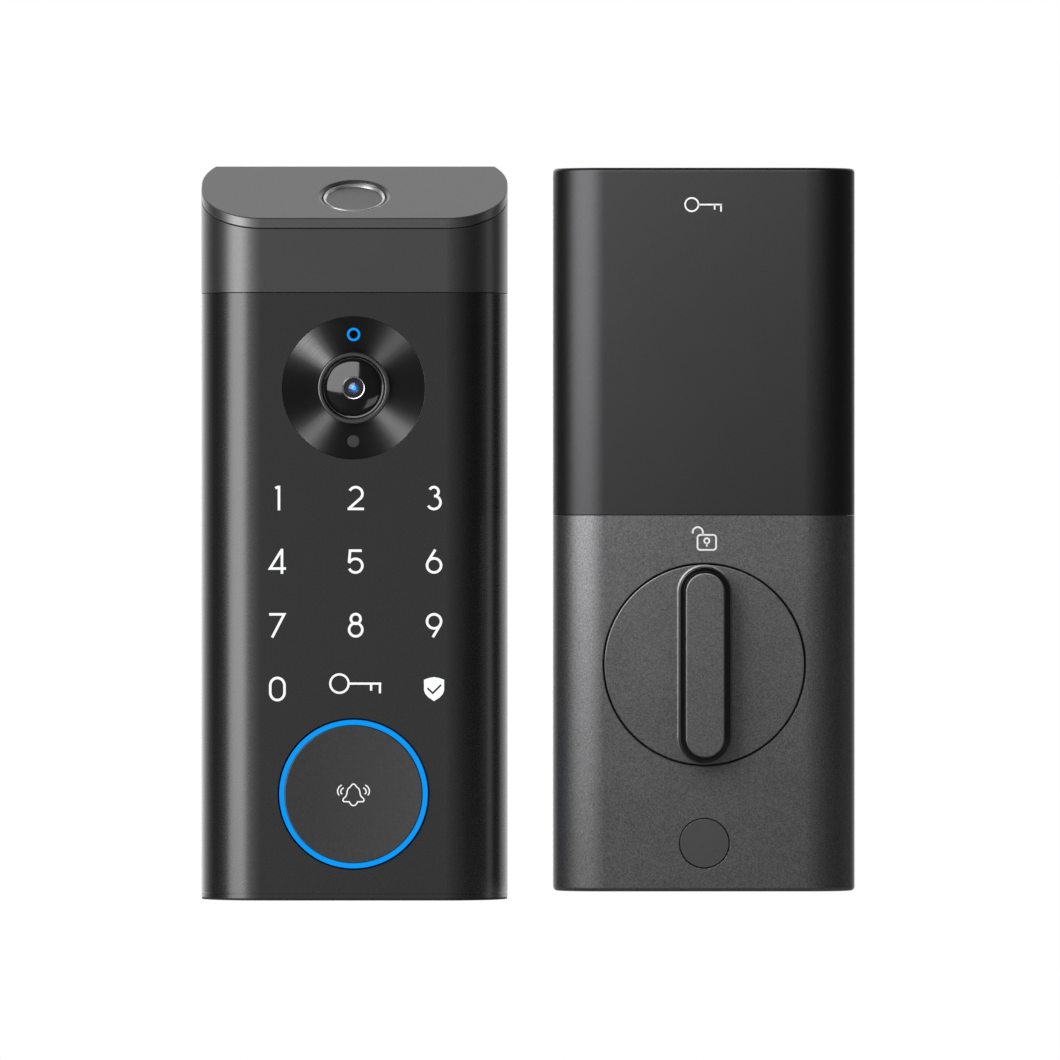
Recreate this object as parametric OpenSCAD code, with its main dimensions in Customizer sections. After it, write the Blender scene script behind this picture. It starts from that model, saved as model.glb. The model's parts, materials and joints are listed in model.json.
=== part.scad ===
// Keypad smart lock in two halves: an outdoor unit with camera, touch keypad, doorbell button and
// fingerprint reader, and an indoor unit with battery bay, thumbturn and its motor gear train.
//
// X is to the right, Y points into the door and Z is up. The origin is the centre of the door's
// cross bore, on the face that the outdoor unit sits against. "Depth" is the distance in front of
// the door's face, so a depth of 26 is at y = -26. The indoor unit lies beside the outdoor one,
// at the height it has when it is mounted.

/* [Outdoor unit] */
// Width of the outdoor unit
out_w = 70; // [68:0.5:74]
// Height from its base to the back edge of its slanted top
out_h = 167.7; // [165:0.1:172]
// Depth of its flat front
out_d = 26; // [25.5:0.5:28]
// Height of the bore's centre over its base
out_base = 53.7; // [53:0.1:55]
// Radius of its front corners
front_r = 14; // [13:0.5:15]
// Radius of its back corners, which the door side cuts off
back_r = 12.7; // [12:0.1:13.5]
// Slope of its top face from level, in degrees
slope = 27.4; // [26:0.1:31]
// Height of the seam between the main shell and the head cover
head_z = 84.4; // [83:0.1:86]
// Thickness of the top cap, measured upright
cap_t = 2.3; // [2:0.1:2.6]
// Thickness of the base cap that shows
base_t = 1.6; // [1.4:0.1:2]
// Thickness of the rubber door gasket
seal_t = 1.5; // [1.2:0.1:1.8]

/* [Camera and keypad] */
// Height of the camera's centre
camera_z = 62.8; // [62:0.1:64]
// Radius of the camera's spun bezel
bezel_r = 16.2; // [15.5:0.1:16.5]
// Radius of the raised lens ring
lens_ring_r = 8.2; // [8:0.1:8.6]
// Distance of the status light, light sensor and microphone from the camera's centre
sensor_arm = 12.15; // [11.8:0.05:12.5]
// Radius of the fingerprint reader's metal ring
finger_r = 7.2; // [6.8:0.1:7.4]
// How far the fingerprint reader's centre lies in front of the back edge
finger_y = 13.8; // [13:0.1:14.5]

/* [Doorbell button] */
// Height of the doorbell's centre
bell_z = -29.5; // [-30:0.1:-29]
// Outer radius of the light ring
bell_r = 16.85; // [16.5:0.05:17]
// Travel of the doorbell button
bell_travel = 0.7; // [0.5:0.1:0.7]

/* [Indoor unit] */
// Distance between the two units' centres
pitch = 79.6; // [78:0.1:84]
// Width of the indoor unit
in_w = 68.5; // [68:0.5:70]
// Height of the indoor unit
in_h = 164; // [162:0.5:166]
// Depth of its flat front
in_d = 34; // [33.5:0.5:36]
// Radius of its front corners
in_r = 8; // [7:0.5:9]
// Height of the bore's centre over its base
in_base = 51.4; // [51:0.1:52]
// Height of the seam under the battery cover
cover_z = 33.8; // [33.5:0.1:35]
// Thickness of the battery cover
cover_t = 2; // [1.8:0.1:2.2]

/* [Thumbturn and drive] */
// Radius of the thumbturn's disc
turn_r = 22.7; // [22:0.1:23]
// Height of the grip over the disc
grip_h = 12; // [10:0.5:14]
// Radius of the spindle
spindle_r = 7; // [7:0.1:7.4]
// Teeth on the drive gear
drive_teeth = 40; // [40:4:40]
// Teeth on the motor pinion and on the idler's pinion
pinion_teeth = 12; // [12:1:12]
// Teeth on the idler's large gear
idler_teeth = 36; // [36:1:36]
// Teeth on the position sensor's gear
sensor_teeth = 20; // [20:1:20]
// Module of the gears on the spindle's side
coarse = 0.8; // [0.8:0.05:0.8]
// Module of the gears on the motor's side
fine = 0.6; // [0.6:0.05:0.6]

/* [Door fixing] */
// Radius of the spigot that sits in the door's 54 mm cross bore
spigot_r = 26.5; // [26:0.1:26.6]
// How far the spigot goes into the door
spigot_l = 5; // [4:0.5:8]
// Distance of each through bolt from the bore's centre
bolt_x = 19; // [18.5:0.1:19.5]
// Length of the threaded posts in the door
post_l = 22; // [18:1:24]

/* [Hidden] */
$fn = 96;

wall = 2;               // shell walls of both units
seam = 0.15;            // gap at the seams between covers
bore = 1;               // overshoot of a cutting tool past the face that it cuts
back_c = 9.7;           // depth of the centre of the outdoor unit's back corners
out_top = out_h - out_base;
in_top = in_h - in_base;
chassis_t = 2;
board_t = 1.6;

bell_gap = 0.4;         // shadow gap round the doorbell button
bell_proud = 0.9;       // how far the button stands over the front
bell_ring_w = 1.1;      // width of the light ring
bell_floor = 19;        // depth of the floor of the button's housing
bell_back = 24.4;       // depth of the back of the button's cap and light ring
plunger_back = 23;      // depth of the back of the plunger's flange

status_r = 1.55;        // outer radius of the status light's ring
window_r = 1.4;         // radius of the light sensor's window
camera_back = 22.5;     // depth of the back of the lens ring and the baffle
lens_back = 18;         // depth of the back of the lens barrel
lens_front = 23.2;      // depth of the front of the lens barrel

switch_w = 6;
switch_body = 1.7;      // height of a push switch's body
switch_h = 2.1;         // its height with its plunger
stem_gap = 0.1;         // gap between a button's stem and its switch, past the button's travel

usb_depth = 13;         // depth of the power port's centre
board_depth = 9;        // depth of the outdoor board's back
guide_back = 23.4;      // depth of the back of the keypad's light guide
touch_back = 22.4;      // depth of the back of the touch board
touch_area = [41.4, -9.5, 45.5];    // width, lowest and highest z of both

bay_inset = cover_t + 0.2;
bay_wall = 1.8;
bay_top = in_top - cover_t - 0.4;
plate_t = 1.5;
plate_w = 59.6;
button_z = -40.45;
button_r = 5.55;
button_travel = 0.8;
harness_z = 21.5;       // height of the indoor harness socket

rear_plate = [2.4, 4.2];        // depths of the rear gear plate's faces
front_plate = [13.2, 14.8];     // depths of the front gear plate's faces
inner_board = 19.8;             // depth of the indoor board's back
inner_front = inner_board + board_t;
pocket = 30;                    // depth from which the disc's and button's pockets are open
flange_t = 1.1;                 // thickness of the flange that keeps the round button in

drive_dist = coarse * (drive_teeth + pinion_teeth) / 2;
sensor_dist = coarse * (drive_teeth + sensor_teeth) / 2;
motor_dist = fine * (idler_teeth + pinion_teeth) / 2;
idler_dir = 235;        // directions from one gear's centre to the next, seen from the front
motor_dir = 250;
sensor_dir = 300;
idler_at = drive_dist * [cos(idler_dir), sin(idler_dir)];
motor_at = idler_at + motor_dist * [cos(motor_dir), sin(motor_dir)];
sensor_at = sensor_dist * [cos(sensor_dir), sin(sensor_dir)];
idler_pin_r = 1.5;
motor_r = 7.75;

chassis_screws = [for (x = [-26, 26], z = [-46, 40, 78, 95]) [x, z]];
base_screws = [-22, 22];    // across, at the depth of the power port
bay_screws = [for (x = [-24, 24], z = [45, 100]) [x, z]];

// ---------------------------------------------------------------- helpers

// Extrudes an outline drawn in X and Z from one depth to a larger one.
module slab(near, far) {
    translate([0, -near, 0]) rotate([90, 0, 0]) linear_extrude(far - near) children();
}

// Turns a profile of [radius, depth] points about the Y axis through (x, z).
module turned(points, x = 0, z = 0) {
    translate([x, 0, z]) rotate([90, 0, 0]) rotate_extrude() polygon(points);
}

// A round rod along Y, from one depth to a larger one.
module rod(r, near, far, x = 0, z = 0) {
    translate([x, -near, z]) rotate([90, 0, 0]) cylinder(r = r, h = far - near);
}

// A round tube along Y.
module tube(r_out, r_in, near, far, x = 0, z = 0) {
    difference() {
        rod(r_out, near, far, x, z);
        rod(r_in, near - bore, far + bore, x, z);
    }
}

// A box from its lowest to its highest x and z, between two depths.
module block(x0, x1, near, far, z0, z1) {
    translate([x0, -far, z0]) cube([x1 - x0, far - near, z1 - z0]);
}

// A rectangle with round corners, centred on x = 0.
module round_rect(w, z0, z1, r) {
    translate([r - w / 2, z0]) square([w - 2 * r, z1 - z0]);
    translate([-w / 2, z0 + r]) square([w, z1 - z0 - 2 * r]);
    for (x = [r - w / 2, w / 2 - r], z = [z0 + r, z1 - r]) translate([x, z]) circle(r);
}

// A slot with round ends, lying along X and centred on the origin.
module stadium(w, h) {
    square([w - h, h], center = true);
    for (s = [-1, 1]) translate([s * (w - h) / 2, 0]) circle(h / 2);
}

// A screw along Y whose head lies at the smaller depth.
module screw(x, z, head_depth, head_r, head_l, shank_r, shank_l) {
    difference() {
        union() {
            rod(head_r, head_depth, head_depth + head_l, x, z);
            rod(shank_r, head_depth + head_l, head_depth + head_l + shank_l, x, z);
        }
        for (turn = [0, 90]) translate([x, 0, z]) rotate([0, turn, 0])
            block(-head_r * 0.6, head_r * 0.6, head_depth - bore, head_depth + head_l / 2, -0.25, 0.25);
    }
}

// Points on a shallow dome, from its rim to its crown, as [radius, depth].
function dome(r, rim, rise, steps = 8) =
    [for (i = [0 : steps]) let (a = 90 * i / steps) [r * cos(a), rim + rise * sin(a)]];

// ---------------------------------------------------------------- gears

pressure_angle = 25;
flank_steps = 5;
backlash = 0.12;

// A point on the involute of a base circle, after it has unrolled by an angle.
function involute(base, unroll) =
    let (arc = base * unroll * PI / 180)
    [base * cos(unroll) + arc * sin(unroll), base * sin(unroll) - arc * cos(unroll)];

function turn_point(p, a) = [p.x * cos(a) - p.y * sin(a), p.x * sin(a) + p.y * cos(a)];

// How far the involute has turned off the radius where it crosses radius r.
function unroll_to(base, r) = sqrt(max(0, pow(r / base, 2) - 1)) * 180 / PI;
function lead(base, r) = unroll_to(base, r) - atan(unroll_to(base, r) * PI / 180);

// The outline of one tooth, centred on angle at.
function tooth(teeth, module_mm, at) =
    let (
        pitch_r = teeth * module_mm / 2,
        base = pitch_r * cos(pressure_angle),
        root = pitch_r - 1.25 * module_mm,
        tip = pitch_r + 0.95 * module_mm,
        half = 90 / teeth - (backlash / 2 / pitch_r) * 180 / PI + lead(base, pitch_r),
        low = max(base, root),
        flank = [for (i = [0 : flank_steps])
            let (r = low + (tip - low) * i / flank_steps)
            turn_point(involute(base, unroll_to(base, r)), -half)]
    )
    concat(
        [turn_point([root, 0], at - half)],
        [for (p = flank) turn_point(p, at)],
        [for (i = [flank_steps : -1 : 0]) turn_point([flank[i].x, -flank[i].y], at)],
        [turn_point([root, 0], at + half)]
    );

module gear_outline(teeth, module_mm, phase) {
    polygon([for (i = [0 : teeth - 1]) each tooth(teeth, module_mm, phase + i * 360 / teeth)]);
}

// The phase of a gear that meshes with another, which has its own teeth and phase.
function mesh_phase(phase, teeth, other_teeth, dir) =
    dir + 180 + 180 / other_teeth - (phase - dir) * teeth / other_teeth;

drive_phase = idler_dir;
idler_pinion_phase = mesh_phase(drive_phase, drive_teeth, pinion_teeth, idler_dir);
idler_phase = motor_dir;
motor_phase = mesh_phase(idler_phase, idler_teeth, pinion_teeth, motor_dir);
sensor_phase = mesh_phase(drive_phase, drive_teeth, sensor_teeth, sensor_dir);

// ---------------------------------------------------------------- outdoor unit

// The outdoor unit seen from above, a distance inside its skin and cut off at a depth.
module outdoor_outline(inset = 0, cut = seal_t) {
    half = out_w / 2;
    difference() {
        union() {
            for (s = [-1, 1]) {
                translate([s * (half - front_r), front_r - out_d]) circle(front_r - inset);
                translate([s * (half - back_r), -back_c]) circle(back_r - inset);
            }
            translate([inset - half, front_r - out_d])
                square([out_w - 2 * inset, out_d - front_r - back_c]);
            translate([front_r - half, inset - out_d])
                square([out_w - 2 * front_r, out_d - inset + bore]);
            translate([back_r - half, -back_c])
                square([out_w - 2 * back_r, back_c + bore]);
        }
        translate([-half, -cut]) square([out_w, out_d]);
    }
}

module outdoor_walls() {
    difference() {
        outdoor_outline();
        outdoor_outline(wall, -bore / 2);
    }
}

// Puts its children on the slanted top: their Z is its outward normal, and -Y runs down it.
module on_slope() {
    translate([0, -seal_t, out_top]) rotate([slope, 0, 0]) children();
}

cap_n = cap_t * cos(slope);             // the top cap's thickness, square to its face
finger_s = -finger_y / cos(slope);      // where the fingerprint reader is, along the slope

// A boss behind the front wall, which takes a screw from the chassis.
module screw_boss(p) {
    rod(2.6, seal_t + chassis_t, out_d - wall - 1, p.x, p.y);
}

boss_z = 4 - out_base;
boss_h = 8;

module outdoor_shell() color("#2b2c2e") {
    difference() {
        union() {
            translate([0, 0, base_t - out_base])
                linear_extrude(head_z - base_t + out_base) outdoor_walls();
            for (p = chassis_screws) if (p.y < head_z) screw_boss(p);
            // bosses for the screws of the base cap, on webs from the front wall
            for (x = base_screws) {
                translate([x, -usb_depth, boss_z]) cylinder(r = 2.8, h = boss_h);
                block(x - 0.8, x + 0.8, usb_depth, out_d - wall / 2, boss_z, boss_z + boss_h);
            }
        }
        for (x = base_screws) translate([x, -usb_depth, boss_z - bore]) cylinder(r = 1.1, h = boss_h);
        rod(bezel_r + 0.05, out_d - wall - bore, out_d + bore, 0, camera_z);
        rod(bell_r + bell_gap, out_d - wall - bore, out_d + bore, 0, bell_z);
        for (p = chassis_screws) rod(0.9, seal_t, 14, p.x, p.y);
    }
}

module head_cover() color("#3a3b3d") {
    difference() {
        union() {
            translate([0, 0, head_z + seam])
                linear_extrude(out_top - head_z - seam) outdoor_walls();
            for (p = chassis_screws) if (p.y > head_z) screw_boss(p);
        }
        for (p = chassis_screws) rod(0.9, seal_t, 14, p.x, p.y);
        on_slope() translate([-out_w, -60, -cap_n - seam / 2]) cube([2 * out_w, 120, 60]);
    }
}

module top_cap() color("#4a4b4d") {
    hole_r = finger_r + 0.1;
    lip_r = 8.15;
    lip_t = 0.6;
    difference() {
        intersection() {
            translate([0, 0, head_z]) linear_extrude(60) outdoor_outline();
            on_slope() translate([-out_w, -60, -cap_n]) cube([2 * out_w, 120, cap_n]);
        }
        on_slope() translate([0, finger_s, -cap_n - bore]) cylinder(r = hole_r, h = cap_n + 2 * bore);
        on_slope() translate([0, finger_s, -lip_t]) cylinder(r1 = hole_r, r2 = lip_r, h = lip_t + 0.001);
    }
}

module fingerprint_ring() color("#c8cacc") {
    on_slope() translate([0, finger_s, 0]) rotate_extrude() polygon([
        [finger_r - 0.9, -1.7], [finger_r, -1.7], [finger_r, -0.75],
        [finger_r - 0.25, -0.45], [finger_r - 0.45, -0.45], [finger_r - 0.9, -0.85]
    ]);
}

module fingerprint_sensor() color("#4c4d4f") {
    on_slope() translate([0, finger_s, 0]) {
        translate([0, 0, -cap_n - 0.2]) cylinder(r = finger_r - 0.9, h = cap_n - 0.7);
        translate([-6, -6, -4.2]) cube([12, 12, 4 - cap_n]);
    }
}

module base_cap() color("#303133") {
    tongue_t = 2;
    difference() {
        union() {
            translate([0, 0, -out_base]) linear_extrude(base_t) outdoor_outline();
            translate([0, 0, base_t - out_base]) linear_extrude(tongue_t)
                outdoor_outline(wall + 0.15, seal_t + chassis_t + 0.2);
        }
        // the power port, in a recess for its rubber plug
        translate([0, -usb_depth, -out_base - bore]) linear_extrude(1.2 + bore) stadium(14, 7);
        translate([0, -usb_depth, -out_base]) linear_extrude(6) stadium(9.4, 3.6);
        // sound slots and screw holes
        for (i = [-2 : 2]) translate([i * 3.2, -7, -out_base - bore]) linear_extrude(8)
            rotate([0, 0, 90]) stadium(4, 1.2);
        for (x = base_screws) translate([x, -usb_depth, -out_base - bore]) {
            cylinder(r = 1.35, h = 8);
            cylinder(r = 2.4, h = 1 + bore);
        }
    }
}

module usb_port() color("#b9bcc0") {
    translate([0, -usb_depth, base_t - out_base]) {
        difference() {
            linear_extrude(7.5) stadium(9.1, 3.3);
            translate([0, 0, -bore]) linear_extrude(7.5) stadium(8.4, 2.6);
        }
        translate([-3.2, -0.35, 2]) cube([6.4, 0.7, 5]);
    }
}

module usb_plug() color("#1c1c1e") {
    translate([0, -usb_depth, 0.1 - out_base]) linear_extrude(1) stadium(13.6, 6.6);
    translate([0, -usb_depth, 1.1 - out_base]) linear_extrude(1.8) stadium(8, 2.2);
}

module outdoor_chassis() color("#55585c") {
    difference() {
        union() {
            slab(seal_t, seal_t + chassis_t) round_rect(57.6, 0.4 - out_base + base_t, out_top - 4, 4);
            rod(spigot_r + 0.5, 0, seal_t + 0.1);
            rod(spigot_r, -spigot_l, 0.1);
            // standoffs for the main board
            for (x = [-18, 18], z = [-36, 72]) rod(2.4, seal_t + chassis_t, board_depth, x, z);
        }
        rod(spigot_r - 2, -spigot_l - bore, seal_t);
        slab(-bore, 5) round_rect(18, 7, 17, 1.5);
        for (s = [-1, 1]) rod(2.5, 0, 5, s * bolt_x, 0);
        for (p = chassis_screws) rod(1.4, 0, 5, p.x, p.y);
    }
}

module door_gasket() color("#161617") {
    slab(0, seal_t) difference() {
        round_rect(62.6, 0.4 - out_base, out_top - 0.6, 3);
        round_rect(54.6, 5 - out_base, out_top - 6, 3);
        for (p = chassis_screws) translate(p) circle(2.5);
    }
}

module threaded_posts() color("#9a9da1") {
    for (s = [-1, 1]) difference() {
        union() {
            rod(3.5, -post_l, seal_t, s * bolt_x, 0);
            rod(2.5, seal_t, seal_t + chassis_t, s * bolt_x, 0);
            rod(4, seal_t + chassis_t, seal_t + chassis_t + 1.2, s * bolt_x, 0);
        }
        rod(2.1, -post_l - bore, -2, s * bolt_x, 0);
    }
}

// The bezel is a shallow cone that falls from its rim to the lens ring.
bezel_fall = 1;
function bezel_depth(r) =
    out_d - bezel_fall * (bezel_r - r) / (bezel_r - lens_ring_r);

module camera_bezel() color("#151516") {
    difference() {
        turned([[lens_ring_r, out_d - wall], [bezel_r, out_d - wall],
            [bezel_r, out_d], [lens_ring_r, out_d - bezel_fall]], 0, camera_z);
        rod(status_r, lens_back, out_d + bore, 0, camera_z + sensor_arm);
        rod(window_r, lens_back, out_d + bore, 0, camera_z - sensor_arm);
        rod(0.5, lens_back, out_d + bore, -sensor_arm, camera_z);
    }
}

module camera_ring() color("#3c3d3f") {
    proud = out_d + 0.8;
    turned([[7, camera_back], [lens_ring_r, camera_back], [lens_ring_r, proud - 0.3],
        [lens_ring_r - 0.3, proud], [7.3, proud], [7, proud - 0.4]], 0, camera_z);
}

module camera_glass() color("#0c0d10") {
    glass_t = 0.7;
    rim = out_d - 0.4;
    inner = dome(6.95, rim - glass_t, 0.9);
    turned(concat(dome(6.95, rim, 0.9), [for (i = [len(inner) - 1 : -1 : 0]) inner[i]]), 0, camera_z);
}

module camera_baffle() color("#0b0b0c") {
    turned([[2.65, lens_front], [6.9, lens_front + 1.4], [6.9, camera_back], [2.65, camera_back]],
        0, camera_z);
}

module camera_lens() color("#10182a") {
    rod(2.6, lens_back, lens_front, 0, camera_z);
    turned(concat([[0, lens_front]], dome(2.3, lens_front, 0.8)), 0, camera_z);
}

module camera_module() color("#1e4a36") {
    translate([0, 0, camera_z]) {
        block(-7, 7, lens_back - 5.5, lens_back, -7, 7);
        block(-10, 10, lens_back - 6.6, lens_back - 5.5, -10, 10);
    }
}

module status_light_ring() color("#1ea0ff") {
    tube(status_r, 0.92, out_d - wall, bezel_depth(sensor_arm), 0, camera_z + sensor_arm);
}

module light_sensor_window() color("#4a4a4c") {
    rod(window_r, out_d - wall, bezel_depth(sensor_arm) - 0.05, 0, camera_z - sensor_arm);
}

module microphone() color("#88898c") {
    rod(2, out_d - wall - 2, out_d - wall - 0.1, -sensor_arm, camera_z);
}

module keypad_light_guide() color("#e8e8e6") {
    slab(guide_back, out_d - wall - 0.05) round_rect(touch_area[0], touch_area[1], touch_area[2], 1);
}

module touch_board() color("#1f5a3c") {
    slab(touch_back, touch_back + 0.9) round_rect(touch_area[0], touch_area[1], touch_area[2], 1);
}

module bell_cap() color("#3a3b3d") {
    cap_r = bell_r - bell_ring_w - 0.02;
    rim = out_d + bell_proud;
    dish = 0.5;
    steps = 6;
    turned(concat([[0, bell_back], [cap_r, bell_back], [cap_r, rim - 0.2], [cap_r - 0.2, rim]],
        [for (i = [1 : steps]) let (r = (cap_r - 0.2) * (1 - i / steps))
            [r, rim - dish * (1 - pow(r / cap_r, 2))]]), 0, bell_z);
}

module bell_light_ring() color("#1593ff") {
    tube(bell_r, bell_r - bell_ring_w, bell_back, out_d + bell_proud, 0, bell_z);
}

module bell_plunger() color("#d8d9da") {
    rod(bell_r - 0.3, plunger_back, bell_back, 0, bell_z);
    rod(2, bell_floor + switch_h + bell_travel + stem_gap, plunger_back, 0, bell_z);
}

module bell_housing() color("#202123") {
    difference() {
        rod(bell_r + 2.4, bell_floor - 1.2, out_d - wall - 0.05, 0, bell_z);
        rod(bell_r + bell_gap, bell_floor, out_d, 0, bell_z);
    }
}

module bell_return_pad() color("#d9d4c4") {
    turned([[10, bell_floor], [12, bell_floor], [11.4, bell_floor + 1], [9.6, plunger_back],
        [8.6, plunger_back], [10, bell_floor + 1.4]], 0, bell_z);
}

// A low push switch, with its plunger towards the front.
module push_switch(x, z, depth) {
    half = switch_w / 2;
    translate([x, 0, z]) block(-half, half, depth, depth + switch_body, -half, half);
    rod(1.7, depth + switch_body, depth + switch_h, x, z);
}

module bell_switch() color("#777a7d") {
    push_switch(0, bell_z, bell_floor);
}

module outdoor_board() color("#1d5b3d") {
    difference() {
        union() {
            slab(board_depth, board_depth + board_t) {
                round_rect(45, -40, 78, 1.5);
                round_rect(30, -47, -36, 1.5);
            }
            translate([0, 0, 30]) block(-9, 9, board_depth + board_t, board_depth + 3.6, -9, 9);
            translate([0, 0, -3]) block(-17, -7, board_depth + board_t, board_depth + 3, -4, 4);
        }
        for (x = [-18, 18], z = [-36, 72]) rod(1.2, 0, 30, x, z);
    }
}

module outdoor_harness_socket() color("#e9e6da") {
    difference() {
        block(-8, 8, 4, board_depth, 8, 16);
        block(-6.8, 6.8, 4 - bore, 8, 9.2, 14.8);
    }
}

module speaker() color("#2a2a2c") {
    slab(4.2, 8.6) translate([0, -37]) stadium(26, 16);
}

module outdoor_screws() color("#8d9093") {
    for (p = chassis_screws) screw(p.x, p.y, 0.3, 2.2, 1.2, 0.9, 11);
    for (x = base_screws) translate([x, -usb_depth, -out_base]) {
        cylinder(r = 2.2, h = 1);
        translate([0, 0, 1]) cylinder(r = 1.1, h = 7);
    }
}

// ---------------------------------------------------------------- indoor unit

module at_indoor() {
    translate([pitch, 0, 0]) children();
}

// The indoor unit seen from above, a distance inside its skin and cut off at a depth.
module indoor_outline(inset = 0, cut = 0) {
    half = in_w / 2;
    for (s = [-1, 1]) translate([s * (half - in_r), in_r - in_d]) circle(in_r - inset);
    translate([in_r - half, inset - in_d]) square([in_w - 2 * in_r, in_d - inset - cut]);
    translate([inset - half, in_r - in_d]) square([in_w - 2 * inset, in_d - in_r - cut]);
}

rail_depth = [14, 16];
rail_top = bay_top - 6;

module indoor_shell() color("#4b4c4e") at_indoor() {
    half = in_w / 2;
    difference() {
        union() {
            translate([0, 0, -in_base]) linear_extrude(cover_z + in_base) indoor_outline();
            translate([0, 0, cover_z]) linear_extrude(bay_top - cover_z) indoor_outline(bay_inset);
            for (s = [-1, 1]) translate([s * (half - bay_inset), 0, 0])
                block(-0.9, 0.9, rail_depth[0], rail_depth[1], cover_z - 1, rail_top);
        }
        // the machine space, open to the door
        translate([0, 0, wall - in_base])
            linear_extrude(cover_z - 2 * wall + in_base) indoor_outline(wall + 0.2, -bore);
        // the battery bay, open to the front
        block(-half + bay_inset + bay_wall, half - bay_inset - bay_wall, 3.2, in_d + bore,
            cover_z, bay_top - bay_wall);
        // room for the mounting plate behind the bay
        block(-plate_w / 2 - 0.3, plate_w / 2 + 0.3, -bore, plate_t + 0.2, 30, 108.5);
        rod(turn_r + 0.4, pocket, in_d + bore);
        rod(button_r + 0.2, pocket, in_d + bore, 0, button_z);
        for (p = bay_screws) rod(1.4, 0, 5, p.x, p.y);
    }
    // stepped bosses that the board and the gear plates sit on
    for (p = gear_screws) difference() {
        union() {
            rod(3.2, inner_front, in_d - wall, p.x, p.y);
            rod(2.4, front_plate[1], inner_front, p.x, p.y);
        }
        rod(0.9, front_plate[0], inner_front + 0.8, p.x, p.y);
    }
}

module battery_cover() color("#333436") at_indoor() {
    half = in_w / 2;
    difference() {
        translate([0, 0, cover_z + seam]) linear_extrude(in_top - cover_z - seam) indoor_outline(0, 0.4);
        translate([0, 0, cover_z - bore])
            linear_extrude(in_top - cover_t - cover_z + bore) indoor_outline(cover_t, -bore);
        for (s = [-1, 1]) translate([s * (half - bay_inset), 0, 0])
            block(-1.1, 1.1, rail_depth[0] - 0.2, rail_depth[1] + 0.2, cover_z - bore, rail_top + 0.3);
    }
}

case_wall = 1.2;
case_w = 59;
case_z = [37.5, 106.5];
case_depth = [5, 27];

module battery_case() color("#1f2022") at_indoor() {
    difference() {
        slab(case_depth[0], case_depth[1] - case_wall) round_rect(case_w, case_z[0], case_z[1], 3);
        slab(case_depth[0] + case_wall, case_depth[1])
            round_rect(case_w - 2 * case_wall, case_z[0] + case_wall, case_z[1] - case_wall, 2);
    }
}

module battery_lid() color("#26272a") at_indoor() {
    slab(case_depth[1] - case_wall, case_depth[1]) round_rect(case_w, case_z[0], case_z[1], 3);
}

module battery_cells() color("#3f7fb5") at_indoor() {
    for (i = [-1 : 1]) translate([i * 18.4, -16, case_z[0] + 2]) cylinder(r = 9.1, h = 65);
}

module battery_pull_tab() color("#d8402c") at_indoor() {
    slab(case_depth[1], case_depth[1] + 0.6) translate([0, 92]) rotate([0, 0, 90]) stadium(26, 12);
}

module battery_contacts() color("#d4ae4a") at_indoor() {
    for (x = [-8, 0, 8]) block(x - 1.2, x + 1.2, 8, 12, cover_z, case_z[0]);
}

module mounting_plate() color("#a4a7aa") at_indoor() {
    slab(0, plate_t) difference() {
        round_rect(plate_w, -47, 108, 3);
        circle(11);
        for (s = [-1, 1]) translate([s * bolt_x, 0]) circle(2.75);
        for (p = bay_screws) translate(p) circle(1.1);
        round_rect(16, 18, 25, 1.5);
        // lightening windows
        for (z = [52 : 14 : 80]) round_rect(34, z, z + 9, 4);
    }
}

module thumbturn_disc() color("#4d4e50") at_indoor() {
    turned([[0, pocket + 0.1], [turn_r + 1.7, pocket + 0.1], [turn_r + 1.7, pocket + 1.5],
        [turn_r, pocket + 1.5],
        [turn_r, in_d - 0.25], [turn_r - 0.25, in_d], [0, in_d]]);
}

module thumbturn_grip() color("#4d4e50") at_indoor() {
    skin = 0.01;
    hull() {
        slab(in_d, in_d + skin) rotate([0, 0, 90]) stadium(45, 12.2, $fn = 32);
        slab(in_d + grip_h - 1, in_d + grip_h - 1 + skin) rotate([0, 0, 90]) stadium(41.4, 8.9, $fn = 32);
        slab(in_d + grip_h - skin, in_d + grip_h) rotate([0, 0, 90]) stadium(40.6, 8.1, $fn = 32);
    }
}

// The socket takes a latch's flat drive blade, up to 10 mm wide and 2.5 mm thick, across its bore.
socket_r = 4;
socket_l = 14;
spindle_end = 1.6;

module thumbturn_spindle() color("#b8bbbe") at_indoor() {
    difference() {
        rod(spindle_r, spindle_end, pocket + 0.1);
        rod(socket_r, spindle_end - bore, spindle_end + socket_l);
        block(-1.4, 1.4, spindle_end - bore, spindle_end + socket_l, -5.2, 5.2);
    }
}

module spindle_bush() color("#c9a24e") at_indoor() {
    tube(9, spindle_r + 0.05, rear_plate[0], rear_plate[1]);
    tube(10.2, spindle_r + 0.05, rear_plate[1], rear_plate[1] + 0.8);
}

module drive_gear() color("#e2ded2") at_indoor() {
    difference() {
        union() {
            slab(6, 10.4) gear_outline(drive_teeth, coarse, drive_phase);
            rod(10, 5.2, 10.4);
        }
        rod(spindle_r, 0, 20);
    }
}

module idler_gear() color("#e2ded2") at_indoor() translate([idler_at.x, 0, idler_at.y]) {
    difference() {
        union() {
            slab(5, 10.8) gear_outline(pinion_teeth, coarse, idler_pinion_phase);
            slab(10.8, 12.6) gear_outline(idler_teeth, fine, idler_phase);
        }
        rod(idler_pin_r + 0.05, 0, 20);
    }
}

module idler_pin() color("#b8bbbe") at_indoor() {
    rod(idler_pin_r, rear_plate[0], front_plate[1], idler_at.x, idler_at.y);
}

module motor_pinion() color("#c9a24e") at_indoor() translate([motor_at.x, 0, motor_at.y]) {
    slab(10.8, 12.8) gear_outline(pinion_teeth, fine, motor_phase);
    rod(1, 12.8, 20);
}

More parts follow.
